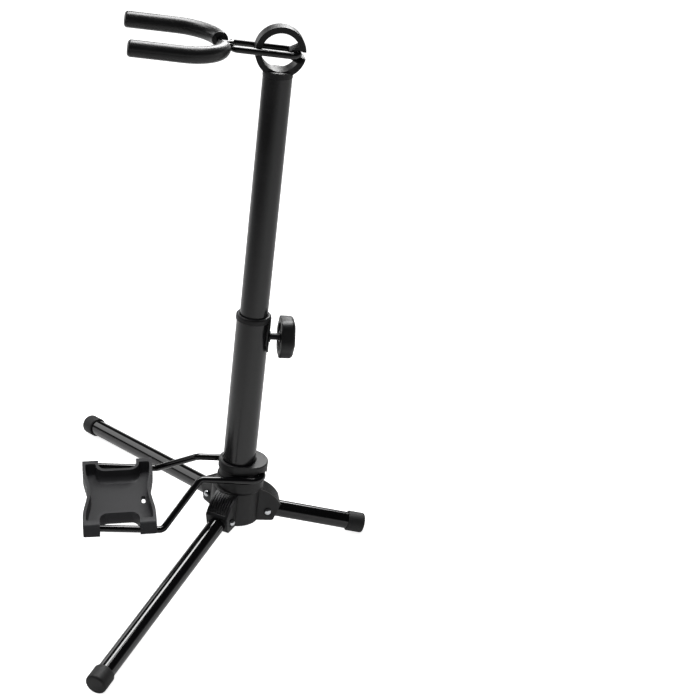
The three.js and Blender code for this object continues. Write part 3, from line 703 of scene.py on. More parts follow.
# The same enamel dipped on bent wire, a little thicker and smoother.
WIRE_ENAMEL = Finish(
    "black_gloss_enamel_wire", "080809", "060607", roughness=(0.08, 0.12), specular=0.45,
    grain=1.8, relief=0.004, drift=50,
)
# Glass-filled nylon with a spark-eroded mould texture, drawn coarser than real so that it shows.
HUB_NYLON = Finish(
    "moulded_nylon_hub", "131314", "0f0f10", roughness=(0.40, 0.50), specular=0.38,
    grain=0.5, grain_detail=4, relief=0.02, drift=25,
)
# Polypropylene of the ring, collar and knob, smoother than the hub.
CLIP_PLASTIC = Finish(
    "moulded_polypropylene", "131314", "0f0f10", roughness=(0.42, 0.52), specular=0.32,
    grain=0.6, grain_detail=3, relief=0.012, drift=25,
)
# ABS saddle plate with a matt, finely textured tray that scatters the light to dark grey.
PLATE_PLASTIC = Finish(
    "moulded_abs_plate", "303032", "2d2d2f", roughness=(0.50, 0.60), specular=0.2,
    grain=0.45, grain_detail=4, relief=0.025, drift=35,
)
# Rubber foot caps: matt, with a faint bloom.
FOOT_RUBBER = Finish(
    "moulded_rubber_cap", "141415", "0f0f10", roughness=(0.55, 0.68), specular=0.35,
    grain=0.7, grain_detail=4, relief=0.03, drift=15, sheen=0.03,
)
# Closed-cell foam rubber tube: a smooth extruded skin with a soft satin and faint cells.
SLEEVE_FOAM = Finish(
    "nitrile_foam_sleeve", "0f0f10", "0c0c0d", roughness=(0.30, 0.38), specular=0.36,
    grain=0.8, grain_detail=4, relief=0.02, drift=20, sheen=0.03,
)
# Bright zinc plate on the screws: metal with very fine tumbling marks.
ZINC_PLATE = Finish(
    "bright_zinc_plate", "d8dadc", "c4c7ca", roughness=(0.16, 0.28), metallic=1.0,
    grain=0.3, grain_detail=3, relief=0.006, drift=4,
)
# Turned brass of the clamp's insert.
TURNED_BRASS = Finish(
    "turned_brass", "b08d4f", "9c7b42", roughness=(0.25, 0.4), metallic=1.0,
    grain=0.4, grain_detail=2, relief=0.01, drift=5,
)


@dataclass(frozen=True)
class Piece:
    """How one finished piece is named, carried and dressed."""

    name: str
    body: str
    slot: str
    finish: Finish
    edge: float = 0.0
    edge_steps: int = 2

    def show(self, form: Form, place: Place) -> bpy.types.Object:
        """Places a form in the stand in place of its CAD node.

        Args:
            form: The shape, in the millimetres of its own drawing.
            place: Where the drawing sits.

        Returns:
            The object.
        """
        form.move(place.matrix())
        bmesh.ops.remove_doubles(form.mesh, verts=form.mesh.verts, dist=SAME_POINT * MILLIMETRE)
        piece = form.as_object(f"{self.name}_dressed")
        piece.data.materials.append(self.finish.material())
        piece.data.shade_smooth()
        piece.data.set_sharp_from_angle(angle=SHARP_ANGLE)
        if self.edge:
            bevel = piece.modifiers.new("edges", "BEVEL")
            bevel.width = self.edge * MILLIMETRE
            bevel.segments = self.edge_steps
            bevel.limit_method = "ANGLE"
            bevel.angle_limit = SHARP_ANGLE
            bevel.harden_normals = True
        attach(piece, self.body)
        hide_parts(self.name)
        log.info("%s: %d faces, on %s", self.name, len(piece.data.polygons), self.body)
        return piece


@dataclass
class Hub:
    """The moulded hub: column, tier, neck and rim, and three ribbed clevis housings for the legs."""

    # Column, tier, neck and rim, and how far back the eccentric ones lie.
    column_radius: float = 29.1
    column_edge: float = 1.5
    tier_radius: float = 27.6
    tier_back: float = 3.4
    neck_radius: float = 22.6
    rim_front_radius: float = 24.0
    rim_back_radius: float = 25.0
    rim_back: float = 9.0
    rim_edge: float = 1.6
    # The step round the tube in the rim's mouth, and the lip behind the cradle wire.
    mouth_gap: float = 1.3
    mouth_depth: float = 3.0
    lip_depth: float = 1.9
    lip_half_width: float = 11.0
    # The housings' arched roof: its centre, out from the mast and down, its radius and its ends.
    arc_out: float = 14.1
    arc_down: float = 12.9
    arc_radius: float = 44.9
    arc_top: float = math.radians(76)
    arc_end: float = math.radians(31)
    # The housings' rounded heels, and their roofs with ribs and grooves.
    heel_out: float = 44.6
    heel_edge: float = 3.0
    heel_turn: float = QUARTER * 0.7
    roof: float = 3.0
    edge_lip: float = 3.0
    ribs: int = 8
    groove_share: float = 0.5
    groove_depth: float = 1.8
    plain_band: float = math.radians(1.5)
    # The back of the legs' slots, and the recesses and holes for their screws.
    slot_wall: float = 22.9
    recess_radius: float = 5.9
    screw_hole: float = 2.8
    # The cradle wire's closed end in the neck, and the straight part of it.
    cradle_back: float = 27.2
    cradle_straight: float = 12.0
    bevel: float = 0.45

    def roof_arc(self, depth: float, start: float, end: float) -> list[Point]:
        """Points of the housing's arched roof, at a depth under its skin."""
        return arc(self.arc_out, -self.arc_down, self.arc_radius - depth, start, end, steps=20)

    def column(self) -> Form:
        """The column with its tier and neck."""
        edge = self.column_edge
        column = Form.revolved([
            (0, LEVELS.hub_bottom),
            (self.column_radius, LEVELS.hub_bottom),
            *arc(self.column_radius - edge, LEVELS.shoulder - edge, edge, 0, QUARTER, steps=5),
            (0, LEVELS.shoulder),
        ])
        tier = Form.revolved([
            (0, LEVELS.shoulder - CUT_OVER),
            (self.tier_radius - edge / 2, LEVELS.shoulder - CUT_OVER),
            (self.tier_radius, LEVELS.shoulder),
            *arc(self.tier_radius - edge, LEVELS.tier_top - edge, edge, 0, QUARTER, steps=5),
            (0, LEVELS.tier_top),
        ]).move(shifted(y=self.tier_back))
        neck = Form.drum(self.neck_radius, LEVELS.tier_top - CUT_OVER, LEVELS.rim_bottom + CUT_OVER)
        return column.join(tier, neck)

    def rim(self) -> Form:
        """The eccentric rim, flat at the sides and with a lip behind the cradle wire."""
        edge = self.rim_edge

        def disc(radius: float) -> Form:
            """A round of the rim's section."""
            return Form.revolved([
                (0, LEVELS.rim_bottom),
                (radius - edge / 2, LEVELS.rim_bottom),
                (radius, LEVELS.rim_bottom + edge / 2),
                *arc(radius - edge, LEVELS.rim_top - edge, edge, 0, QUARTER, steps=6),
                (0, LEVELS.rim_top),
            ])

        reach = self.rim_back + self.rim_back_radius
        heights = (LEVELS.rim_bottom - CUT_OVER, LEVELS.rim_top + CUT_OVER)
        between = Form.block((-self.neck_radius, self.neck_radius), (-reach, reach), heights)
        front = self.cradle_back + SHARED.cradle_wire + SEAT_GAP
        low, high = LEVELS.rim_bottom - self.lip_depth, LEVELS.rim_bottom + CUT_OVER
        lip = Form.drum(self.rim_back_radius, low, high).move(shifted(y=self.rim_back))
        lip.keep(Form.block(
            (-self.lip_half_width, self.lip_half_width), (front, reach + CUT_OVER), (0, LEVELS.rim_top)
        ))
        disc_back = disc(self.rim_back_radius).move(shifted(y=self.rim_back))
        return disc(self.rim_front_radius).join(disc_back).keep(between).join(lip)

    def housing(self) -> Form:
        """One clevis housing along +Y: fan-shaped cheeks under an arched roof with ribs."""
        half = SHARED.housing_half
        heel = self.heel_edge
        fan = [
            (self.neck_radius, LEVELS.hub_bottom),
            (self.heel_out - heel, LEVELS.hub_bottom),
            *arc(self.heel_out - heel / 2, LEVELS.hub_bottom + heel, heel, -self.heel_turn, 0, steps=4),
            *self.roof_arc(0, self.arc_end, self.arc_top),
            (self.neck_radius, LEVELS.shoulder),
        ]
        pitch = 2 * half / (self.ribs + 1)
        groove = pitch * self.groove_share
        band_end = self.arc_end + self.plain_band
        band = [
            *self.roof_arc(self.groove_depth, band_end, self.arc_top),
            *self.roof_arc(-CUT_OVER, self.arc_top, band_end),
        ]
        grooves = []
        for number in range(self.ribs):
            middle = (number + 0.5 - self.ribs / 2) * pitch
            grooves.append(Form.prism(band, middle - groove / 2, middle + groove / 2, Plane.SIDE))
        recesses = [
            along_x(self.recess_radius, SHARED.pin_radius, 0, *span)
            for span in (
                (half - SHARED.screw_recess, half + CUT_OVER), (-half - CUT_OVER, SHARED.screw_recess - half)
            )
        ]
        return Form.prism(fan, -half, half, Plane.SIDE).cut(*grooves, *recesses)

    def leg_slot(self) -> list[Form]:
        """The space that a leg swings in, and the hole for its screw."""
        half = SHARED.leg_tube + SEAT_GAP
        reach = SHARED.pin_radius + self.arc_radius
        inner = self.arc_radius - self.roof
        lip_inside = self.arc_out + self.arc_radius * math.cos(self.arc_end) - self.edge_lip

        def stop(y: float) -> float:
            """Height of the roof's underside where the open leg rests against it."""
            rest = SHARED.leg_tube / math.cos(SHARED.leg_dip) + SEAT_GAP
            return rest - (y - SHARED.pin_radius) * math.tan(SHARED.leg_dip)

        space = [
            (self.slot_wall, LEVELS.hub_bottom - CUT_OVER),
            (reach, LEVELS.hub_bottom - CUT_OVER),
            (reach, stop(reach)),
            (lip_inside, stop(lip_inside)),
            *self.roof_arc(
                self.roof,
                math.acos((lip_inside - self.arc_out) / inner),
                math.acos((self.slot_wall - self.arc_out) / inner),
            ),
        ]
        across = SHARED.housing_half + CUT_OVER
        return [
            Form.prism(space, -half, half, Plane.SIDE),
            along_x(self.screw_hole, SHARED.pin_radius, 0, -across, across),
        ]

    def cradle_swing(self) -> Form:
        """The room over its hinge that the cradle wire's bent ends sweep as it folds up."""
        bend = SHARED.cradle_bend
        half = self.neck_radius + CUT_OVER
        flare = bearing_flare(bend, SHARED.cradle_wire, self.cradle_straight, half)
        profile = [(0, self.cradle_straight), *flare, (0, half)]
        sweep = Form.revolved(profile, SMALL_SIDES).move(turned(QUARTER, "Y"))
        sweep.move(shifted(y=self.cradle_back, z=LEVELS.cradle_hinge))
        spans = (self.cradle_back - bend, self.cradle_back + bend)
        heights = (LEVELS.cradle_hinge, LEVELS.cradle_hinge + bend)
        return sweep.keep(Form.block((self.cradle_straight, half + CUT_OVER), spans, heights))

    def build(self, drawing: Drawing) -> None:
        """Builds and dresses the hub."""
        hub = self.column().join(self.rim())
        for side in Side:
            hub.join(self.housing().move(turned(side.value, "Z")))
        swing = self.cradle_swing()
        tools = [swing.mirrored(), swing]
        top = LEVELS.rim_top + CUT_OVER
        for radius, low, high in (
            (SHARED.outer_tube + SEAT_GAP, LEVELS.tube_seat, top),
            (SHARED.inner_tube + SLIDE_GAP, LEVELS.hub_bottom - CUT_OVER, LEVELS.tube_seat + CUT_OVER),
            (SHARED.outer_tube + self.mouth_gap, LEVELS.rim_top - self.mouth_depth, top),
        ):
            tools.append(Form.drum(radius, low, high))
        for side in Side:
            tools += [tool.move(turned(side.value, "Z")) for tool in self.leg_slot()]
        piece = Piece("hub", "base", "hub_plastic", HUB_NYLON, edge=self.bevel)
        piece.show(hub.cut(*tools), drawing.mast)


@dataclass
class Leg:
    """One leg: a steel tube on its hinge screw, in a rubber cap that the floor presses flat."""

    side: Side
    # From the hinge to the cap's end, of the short rear leg and of the two long ones.
    rear_length: float = 121.0
    front_length: float = 296.6
    wall: float = 1.5
    # How far the tube reaches past its hinge, and the cap on its other end.
    hinge: float = 10.5
    cap_radius: float = 12.0
    cap_length: float = 20.2
    cap_end: float = 3.0
    cap_edge: float = 2.5
    cap_lip: float = 0.9
    cap_gap: float = 0.1
    # The screw and its domed nut, by radius and height.
    shank: float = 2.5
    head_rim: float = 0.6
    head: float = 4.3
    head_dome: float = 2.7
    nut: float = 4.1
    nut_dome: float = 4.4
    thread: float = 3.0
    thread_gap: float = 0.15
    dome_steps: int = 10
    bevel: float = 0.3

    @property
    def body(self) -> str:
        """The CAD body that the leg is."""
        return f"leg_{self.side.label}"

    @property
    def length(self) -> float:
        """From the hinge to the cap's end."""
        return self.rear_length if self.side is Side.REAR else self.front_length

    @property
    def seat(self) -> float:
        """Level of the screw's and the nut's seats, from the leg's middle."""
        return SHARED.housing_half - SHARED.screw_recess

    def tube(self) -> Form:
        """The leg tube, cross-drilled for its screw."""
        bore = SHARED.leg_tube - self.wall
        end = self.length - self.cap_end - SEAT_GAP
        tube = Form.pipe(SHARED.leg_tube, bore, -self.hinge, end).move(turned(-QUARTER, "X"))
        across = SHARED.leg_tube + CUT_OVER
        return tube.cut(along_x(self.shank + SEAT_GAP, 0, 0, -across, across))

    def cap(self, place: Place) -> Form:
        """The rubber cap, with a rolled mouth and a sole that stands flat on the floor."""
        mouth = self.length - self.cap_length
        bore = SHARED.leg_tube + self.cap_gap
        edge = self.cap_edge
        cap = Form.revolved([
            (0, self.length),
            *arc(self.cap_radius - edge, self.length - edge, edge, QUARTER, 0, steps=8),
            *arc(self.cap_radius - self.cap_lip, mouth + self.cap_lip, self.cap_lip, 0, -QUARTER, steps=5),
            (bore, mouth),
            (bore, self.length - self.cap_end),
            (0, self.length - self.cap_end),
        ])
        cap.move(turned(-QUARTER, "X"))
        to_drawing = place.matrix().inverted()
        floor = to_drawing @ Vector((0, 0, 0))
        up = (to_drawing.to_3x3() @ Vector((0, 0, 1))).normalized()
        cut = bmesh.ops.bisect_plane(
            cap.mesh, geom=cap.mesh.verts[:] + cap.mesh.edges[:] + cap.mesh.faces[:],
            plane_co=floor, plane_no=up, clear_inner=True,
        )
        sole = [part for part in cut["geom_cut"] if isinstance(part, bmesh.types.BMEdge)]
        bmesh.ops.contextual_create(cap.mesh, geom=sole)
        return cap

    def dome(self, radius: float, height: float) -> list[Point]:
        """The crown of a head, from its rim at the seat's level up to the axis."""
        foot = self.seat + self.head_rim
        angles = [QUARTER * i / self.dome_steps for i in range(self.dome_steps)]
        crown = [(radius * math.cos(a), foot + height * math.sin(a)) for a in angles]
        return [(radius, self.seat), *crown, (0, foot + height)]

    def screw(self) -> Form:
        """The hinge screw's domed head and shank, in its recess in one cheek."""
        end = SHARED.housing_half + self.thread / 2
        head = self.dome(self.head, self.head_dome)
        profile = [(0, -end), (self.shank, -end), (self.shank, self.seat), *head]
        return Form.revolved(profile, SMALL_SIDES).move(turned(QUARTER, "Y"))

    def cap_nut(self) -> Form:
        """The domed nut in the other cheek's recess."""
        bore = self.shank + self.thread_gap
        end = self.seat + self.thread
        profile = [(0, end), (bore, end), (bore, self.seat), *self.dome(self.nut, self.nut_dome)]
        return Form.revolved(profile, SMALL_SIDES).move(turned(-QUARTER, "Y"))

    def build(self, drawing: Drawing) -> None:
        """Builds and dresses the leg with its screw and nut."""
        label = self.side.label
        place = drawing.leg(self.side)
        tube = Piece(f"leg_tube_{label}", self.body, "leg_paint", LEG_ENAMEL, edge=self.bevel)
        tube.show(self.tube(), place)
        Piece(f"foot_cap_{label}", self.body, "foot_rubber", FOOT_RUBBER).show(self.cap(place), place)
        level = place.at(0, 0, 0, dip=-SHARED.leg_dip)
        Piece(f"leg_screw_{label}", "base", "screw_steel", ZINC_PLATE).show(self.screw(), level)
        Piece(f"leg_nut_{label}", "base", "screw_steel", ZINC_PLATE).show(self.cap_nut(), level)


@dataclass
class Mast:
    """The two mast tubes and the plastic cap in the lower end of the inner one."""

    # The hole for the clamp's boss, and the cap's flange and plug.
    boss_hole: float = 6.3
    cap_flange: float = 3.3
    cap_edge: float = 1.0
    cap_plug: float = 14.0
    bevel: float = 0.3

    def build(self, drawing: Drawing) -> None:
        """Builds and dresses the tubes."""
        radius = SHARED.outer_tube
        outer = Form.pipe(radius, radius - SHARED.mast_wall, LEVELS.tube_seat + SEAT_GAP, LEVELS.outer_top)
        outer.cut(along_y(self.boss_hole, 0, LEVELS.clamp, 0, radius + CUT_OVER))
        radius = SHARED.inner_tube
        inner = Form.pipe(radius, radius - SHARED.mast_wall, LEVELS.inner_bottom, LEVELS.inner_top)
        for node, body, tube in (("outer_tube", "base", outer), ("inner_tube", "mast", inner)):
            Piece(node, body, "tube_paint", MAST_PAINT, edge=self.bevel).show(tube, drawing.mast)
        plug = radius - SHARED.mast_wall - SEAT_GAP
        seat = LEVELS.inner_bottom - SEAT_GAP
        foot = seat - self.cap_flange
        edge = self.cap_edge
        cap = Form.revolved([
            (0, foot),
            *arc(radius - edge, foot + edge, edge, -QUARTER, 0, steps=6),
            (radius, seat),
            (plug, seat),
            (plug, seat + self.cap_plug),
            (0, seat + self.cap_plug),
        ])
        Piece("inner_tube_end_cap", "mast", "clip_plastic", CLIP_PLASTIC).show(cap, drawing.mast)


@dataclass
class Clamp:
    """The collar on the outer tube's end with its saddle pad, and the lobed knob behind it."""

    # The collar's lip over the tube's end, and its sleeve between the tubes.
    lip: float = 7.0
    bulge: float = 1.0
    edge: float = 2.4
    foot_edge: float = 0.6
    mouth_edge: float = 0.5
    sleeve: float = 48.0
    # The saddle pad: thickness, reach down and half widths at its top and middle.
    pad: float = 1.3
    pad_gap: float = 0.1
    pad_drop: float = 38.0
    pad_top: float = 9.0
    pad_middle: float = 11.4
    # The boss, and the recess for the nut with its low rim.
    boss_radius: float = 6.0
    nut_radius: float = 4.6
    nut_back: float = 17.8
    nut_rim: float = 6.6
    nut_rim_rise: float = 0.7
    pad_hole: float = 3.0
    # The knob, and how far it stands off the tube.
    knob_radius: float = 24.5
    lobes: int = 6
    lobe_depth: float = 0.9
    lobe_steps: int = 24
    thickness: float = 16.0
    stand_off: float = 12.5
    knob_edge: float = 5.0
    rear_edge: float = 0.8
    # Its neck, the ring recessed in its back and the fine groove in its face.
    neck_radius: float = 3.9
    neck_length: float = 10.5
    recess: Point = (7.0, 16.5)
    recess_depth: float = 2.5
    face_radius: float = 15.5
    face_groove: float = 0.7
    groove_depth: float = 0.5
    screw_bore: float = 3.3
    screw_end: float = 42.0
    collar_bevel: float = 0.35
    knob_bevel: float = 0.3

    def collar(self) -> Form:
        """The collar: lip, sleeve between the tubes, saddle pad and boss."""
        inner = SHARED.inner_tube + SLIDE_GAP
        sleeve = SHARED.outer_tube - SHARED.mast_wall - SEAT_GAP
        lip = SHARED.outer_tube + self.bulge
        rise = self.lip / 2
        top = LEVELS.collar_top
        seat = LEVELS.outer_top + SEAT_GAP
        foot = LEVELS.outer_top - self.sleeve
        body = Form.revolved([
            (inner, foot),
            (sleeve, foot),
            (sleeve, seat),
            (lip - self.foot_edge, seat),
            (lip, seat + self.foot_edge),
            (lip, top - rise),
            *arc(lip - self.edge, top - self.edge, self.edge, 0, QUARTER, steps=8),
            (inner + self.mouth_edge, top),
            (inner, top - self.mouth_edge),
        ])
        skin = SHARED.outer_tube + self.pad_gap
        saddle = Form.pipe(skin + self.pad, skin, foot, LEVELS.outer_top + rise)
        boss = self.boss_radius
        outline = [
            (self.pad_top, LEVELS.outer_top + rise),
            (self.pad_middle, LEVELS.clamp + boss),
            (self.pad_middle, LEVELS.clamp - boss),
            *arc(0, top - self.pad_drop, self.pad_top, 0, -math.pi, steps=18),
            (-self.pad_middle, LEVELS.clamp - boss),
            (-self.pad_middle, LEVELS.clamp + boss),
            (-self.pad_top, LEVELS.outer_top + rise),
        ]
        pad = Form.prism(outline, 0, 2 * SHARED.outer_tube, Plane.FRONT).keep(saddle)
        round_boss = along_y(boss, 0, LEVELS.clamp, inner + SEAT_GAP, skin + self.pad / 2)
        rim = along_y(self.nut_rim, 0, LEVELS.clamp, skin, skin + self.pad + self.nut_rim_rise)
        return body.join(pad, round_boss, rim).cut(
            along_y(self.nut_radius, 0, LEVELS.clamp, self.nut_back, 2 * SHARED.outer_tube),
            along_y(self.pad_hole, 0, LEVELS.clamp, 0, self.nut_back + CUT_OVER),
        )

    def knob(self) -> Form:
        """The lobed knob, with its rounded face edge following the lobes."""
        back = SHARED.outer_tube + self.stand_off
        face = back + self.thickness
        outline = []
        steps = self.lobes * self.lobe_steps
        for step in range(steps):
            angle = math.tau * step / steps
            radius = self.knob_radius - self.lobe_depth * (1 - math.cos(self.lobes * angle))
            outline.append((radius * math.cos(angle), radius * math.sin(angle)))
        body = Form.prism(outline, back, face)
        body.round_edges(body.edges_at(face), self.knob_edge, steps=10)
        body.round_edges(body.edges_at(back), self.rear_edge, steps=3)
        end = back - self.neck_length
        inmost = back + self.recess_depth
        neck = Form.drum(self.neck_radius, end, inmost + CUT_OVER, SMALL_SIDES)
        half = self.face_groove / 2
        body.cut(
            Form.pipe(self.recess[1], self.recess[0], back - CUT_OVER, inmost),
            Form.pipe(
                self.face_radius + half, self.face_radius - half, face - self.groove_depth, face + CUT_OVER
            ),
        )
        bore = Form.drum(self.screw_bore, end - CUT_OVER, self.screw_end, SMALL_SIDES)
        return body.join(neck).cut(bore).move(turned(-QUARTER, "X"))

    def build(self, drawing: Drawing) -> None:
        """Builds and dresses the clamp, with finishes for the hidden pieces of its screw."""
        collar = Piece("clamp_collar", "base", "clip_plastic", CLIP_PLASTIC, edge=self.collar_bevel)
        collar.show(self.collar(), drawing.mast)
        knob = Piece("clamp_knob", "knob", "clip_plastic", CLIP_PLASTIC, edge=self.knob_bevel)
        knob.show(self.knob(), drawing.mast.at(0, 0, LEVELS.clamp))
        for node, finish in (
            ("clamp_pad", CLIP_PLASTIC), ("clamp_nut", TURNED_BRASS), ("clamp_screw", ZINC_PLATE)
        ):
            frame["nodes"][node].material_slots[0].material = finish.material()
            log.info("%s: finish %s", node, finish.name)


@dataclass
class HeadRing:
    """The open plastic ring on the inner tube, with two hooks round the yoke's hinge."""

    # The ring, its arm, and the hooks with the mouth and slit between them.
    radius: float = 27.0
    wall: float = 6.6
    arm_width: float = 15.8
    hook_width: float = 20.4
    hinge_back: float = 19.5
    hinge_drop: float = 1.5
    mouth: float = 6.4
    hook_inset: float = 9.6
    hook_height: float = 9.5
    hook_tip_share: float = 0.35
    slit: float = 2.6
    # The cap on the tube and the plug in it.
    cap_radius: float = 16.3
    cap_height: float = 6.4
    cap_gap: float = 0.05
    plug: float = 26.0
    plug_radius: float = 14.2
    yoke_straight: float = 4.0
    bevel: float = 0.7

    def hook(self, half: float, root: float, tip: float) -> Form:
        """One hook: a wedge from the ring's wall in to its tip, inside the ring's circle."""
        outline = [
            (self.hook_inset, tip),
            (self.hook_inset, tip + (root - tip) * self.hook_tip_share),
            (self.hinge_back + self.wall / 2, root),
            (self.radius, root),
            (self.radius, tip),
        ]
        circle = along_x(self.radius, 0, LEVELS.ring_centre, -half, half)
        return Form.prism(outline, -half, half, Plane.SIDE).keep(circle)

    def journal(self) -> Form:
        """The bearing that the yoke's closed end turns in, flared where the wire bends away."""
        half = self.hook_width / 2
        flare = bearing_flare(SHARED.yoke_bend, SHARED.yoke_wire, self.yoke_straight, half)
        mirror = [(radius, -x) for radius, x in reversed(flare)]
        wide = flare[-1][0]
        end = half + CUT_OVER
        profile = [(0, -end), (wide, -end), *mirror, *flare, (wide, end), (0, end)]
        return Form.revolved(profile, SMALL_SIDES).move(
            shifted(y=self.hinge_back, z=LEVELS.yoke_hinge) @ turned(QUARTER, "Y")
        )

    def build(self, drawing: Drawing) -> None:
        """Builds and dresses the ring."""
        centre = LEVELS.ring_centre
        hinge = LEVELS.yoke_hinge
        hook_half = self.hook_width / 2
        arm_half = self.arm_width / 2
        wide = self.radius + CUT_OVER

        def disc(radius: float, half: float) -> Form:
            """A disc across the ring, about its centre."""
            return Form.drum(radius, -half, half).move(shifted(z=centre) @ turned(QUARTER, "Y"))

        spans = (-wide, wide)
        upper = Form.block((-hook_half - CUT_OVER, hook_half + CUT_OVER), spans, (hinge, centre + wide))
        band = disc(self.radius, arm_half).join(disc(self.radius, hook_half).cut(upper))
        bottom = LEVELS.inner_top + self.cap_gap
        cap = Form.drum(self.cap_radius, bottom, bottom + self.cap_height)
        hollow = disc(self.radius - self.wall, self.cap_radius)
        plug = Form.drum(self.plug_radius, bottom - self.plug, bottom + CUT_OVER)
        reach = self.hook_height + self.hinge_drop
        band.join(cap).cut(hollow).join(
            self.hook(arm_half, hinge + reach, hinge), self.hook(hook_half, hinge - reach, hinge), plug
        )
        half_mouth = self.mouth / 2
        half_slit = self.slit / 2
        band.cut(
            Form.block(spans, (self.hinge_back, wide), (hinge - half_mouth, hinge + half_mouth)),
            Form.block(spans, (0, self.hinge_back), (hinge - half_slit, hinge + half_slit)),
            self.journal(),
        )
        piece = Piece("head_ring", "mast", "clip_plastic", CLIP_PLASTIC, edge=self.bevel, edge_steps=3)
        piece.show(band, drawing.mast)


@dataclass
class Yoke:
    """The bent wire yoke for the cello's neck and the foam sleeves on its two arms."""

    # The two rods, and the pinched neck with its curls.
    rod_spacing: float = 28.0
    rod_reach: float = 64.9
    neck_turn: float = math.radians(70)
    neck_radius: float = 6.0
    neck_run: float = 2.43
    curl_radius: float = 5.2
    # The fork's round foot and arms.
    arm_spacing: float = 110.0
    arm_radius: float = 44.0
    arm_reach: float = 181.6
    # The sleeves: where they start across and end past the wire, and their edges.
    sleeve_radius: float = 8.85
    sleeve_start: float = 16.0
    sleeve_end: float = 3.0
    sleeve_edge: float = 3.6
    mouth_edge: float = 1.4
    bore_gap: float = 0.15
    wire_edge: float = 0.5

    def half_wire(self) -> tuple[Form, Vector]:
        """The right half of the wire, and the foot of its arm."""
        bend = SHARED.yoke_bend
        bender = Bender(Vector((0, 0, 0)), Vector((1, 0, 0)), SHARED.yoke_wire)
        bender.straight(self.rod_spacing / 2 - bend).bend(bend, -QUARTER).straight(self.rod_reach - bend)
        bender.bend(self.neck_radius, -self.neck_turn).straight(self.neck_run)
        bender.bend(self.curl_radius, self.neck_turn + QUARTER)
        foot = bender.at.copy()
        side = self.arm_spacing / 2 - self.arm_radius
        reach = self.arm_reach + foot.y - self.arm_radius - self.sleeve_end - SEAT_GAP
        bender.straight(side - foot.x).bend(self.arm_radius, -QUARTER).straight(reach)
        return bender.end(self.wire_edge), foot

    def sleeve(self, foot: Vector) -> Form:
        """One foam sleeve, bored for the wire at its mouth and round at its closed tip."""
        side = self.arm_spacing / 2 - self.arm_radius
        lead = math.asin((self.sleeve_start - side) / self.arm_radius)
        start = Vector((self.sleeve_start, foot.y - self.arm_radius * (1 - math.cos(lead)), 0))
        heading = Vector((math.cos(lead), -math.sin(lead), 0))
        reach = self.arm_reach + foot.y - self.arm_radius
        outside = Bender(start, heading, self.sleeve_radius, SMALL_SIDES)
        outside.bend(self.arm_radius, lead - QUARTER).straight(reach)
        bore_radius = SHARED.yoke_wire + self.bore_gap
        bore = Bender(start, heading, bore_radius)
        bore.bend(self.arm_radius, lead - QUARTER).straight(reach - self.sleeve_end)
        mouth = Bender(start - heading * CUT_OVER, heading, bore_radius).straight(2 * CUT_OVER)
        solid = outside.both_ends(self.mouth_edge, self.sleeve_edge, steps=8)
        return solid.cut(bore.both_ends(), mouth.both_ends())

    def build(self, drawing: Drawing) -> None:
        """Builds and dresses the wire and its sleeves."""
        half, foot = self.half_wire()
        Piece("yoke_wire", "yoke", "wire_paint", WIRE_ENAMEL).show(half.doubled(), drawing.yoke)
        right = self.sleeve(foot)
        for label, form in (("left", right.mirrored()), ("right", right)):
            piece = Piece(f"yoke_sleeve_{label}", "yoke", "sleeve_foam", SLEEVE_FOAM)
            piece.show(form, drawing.yoke)


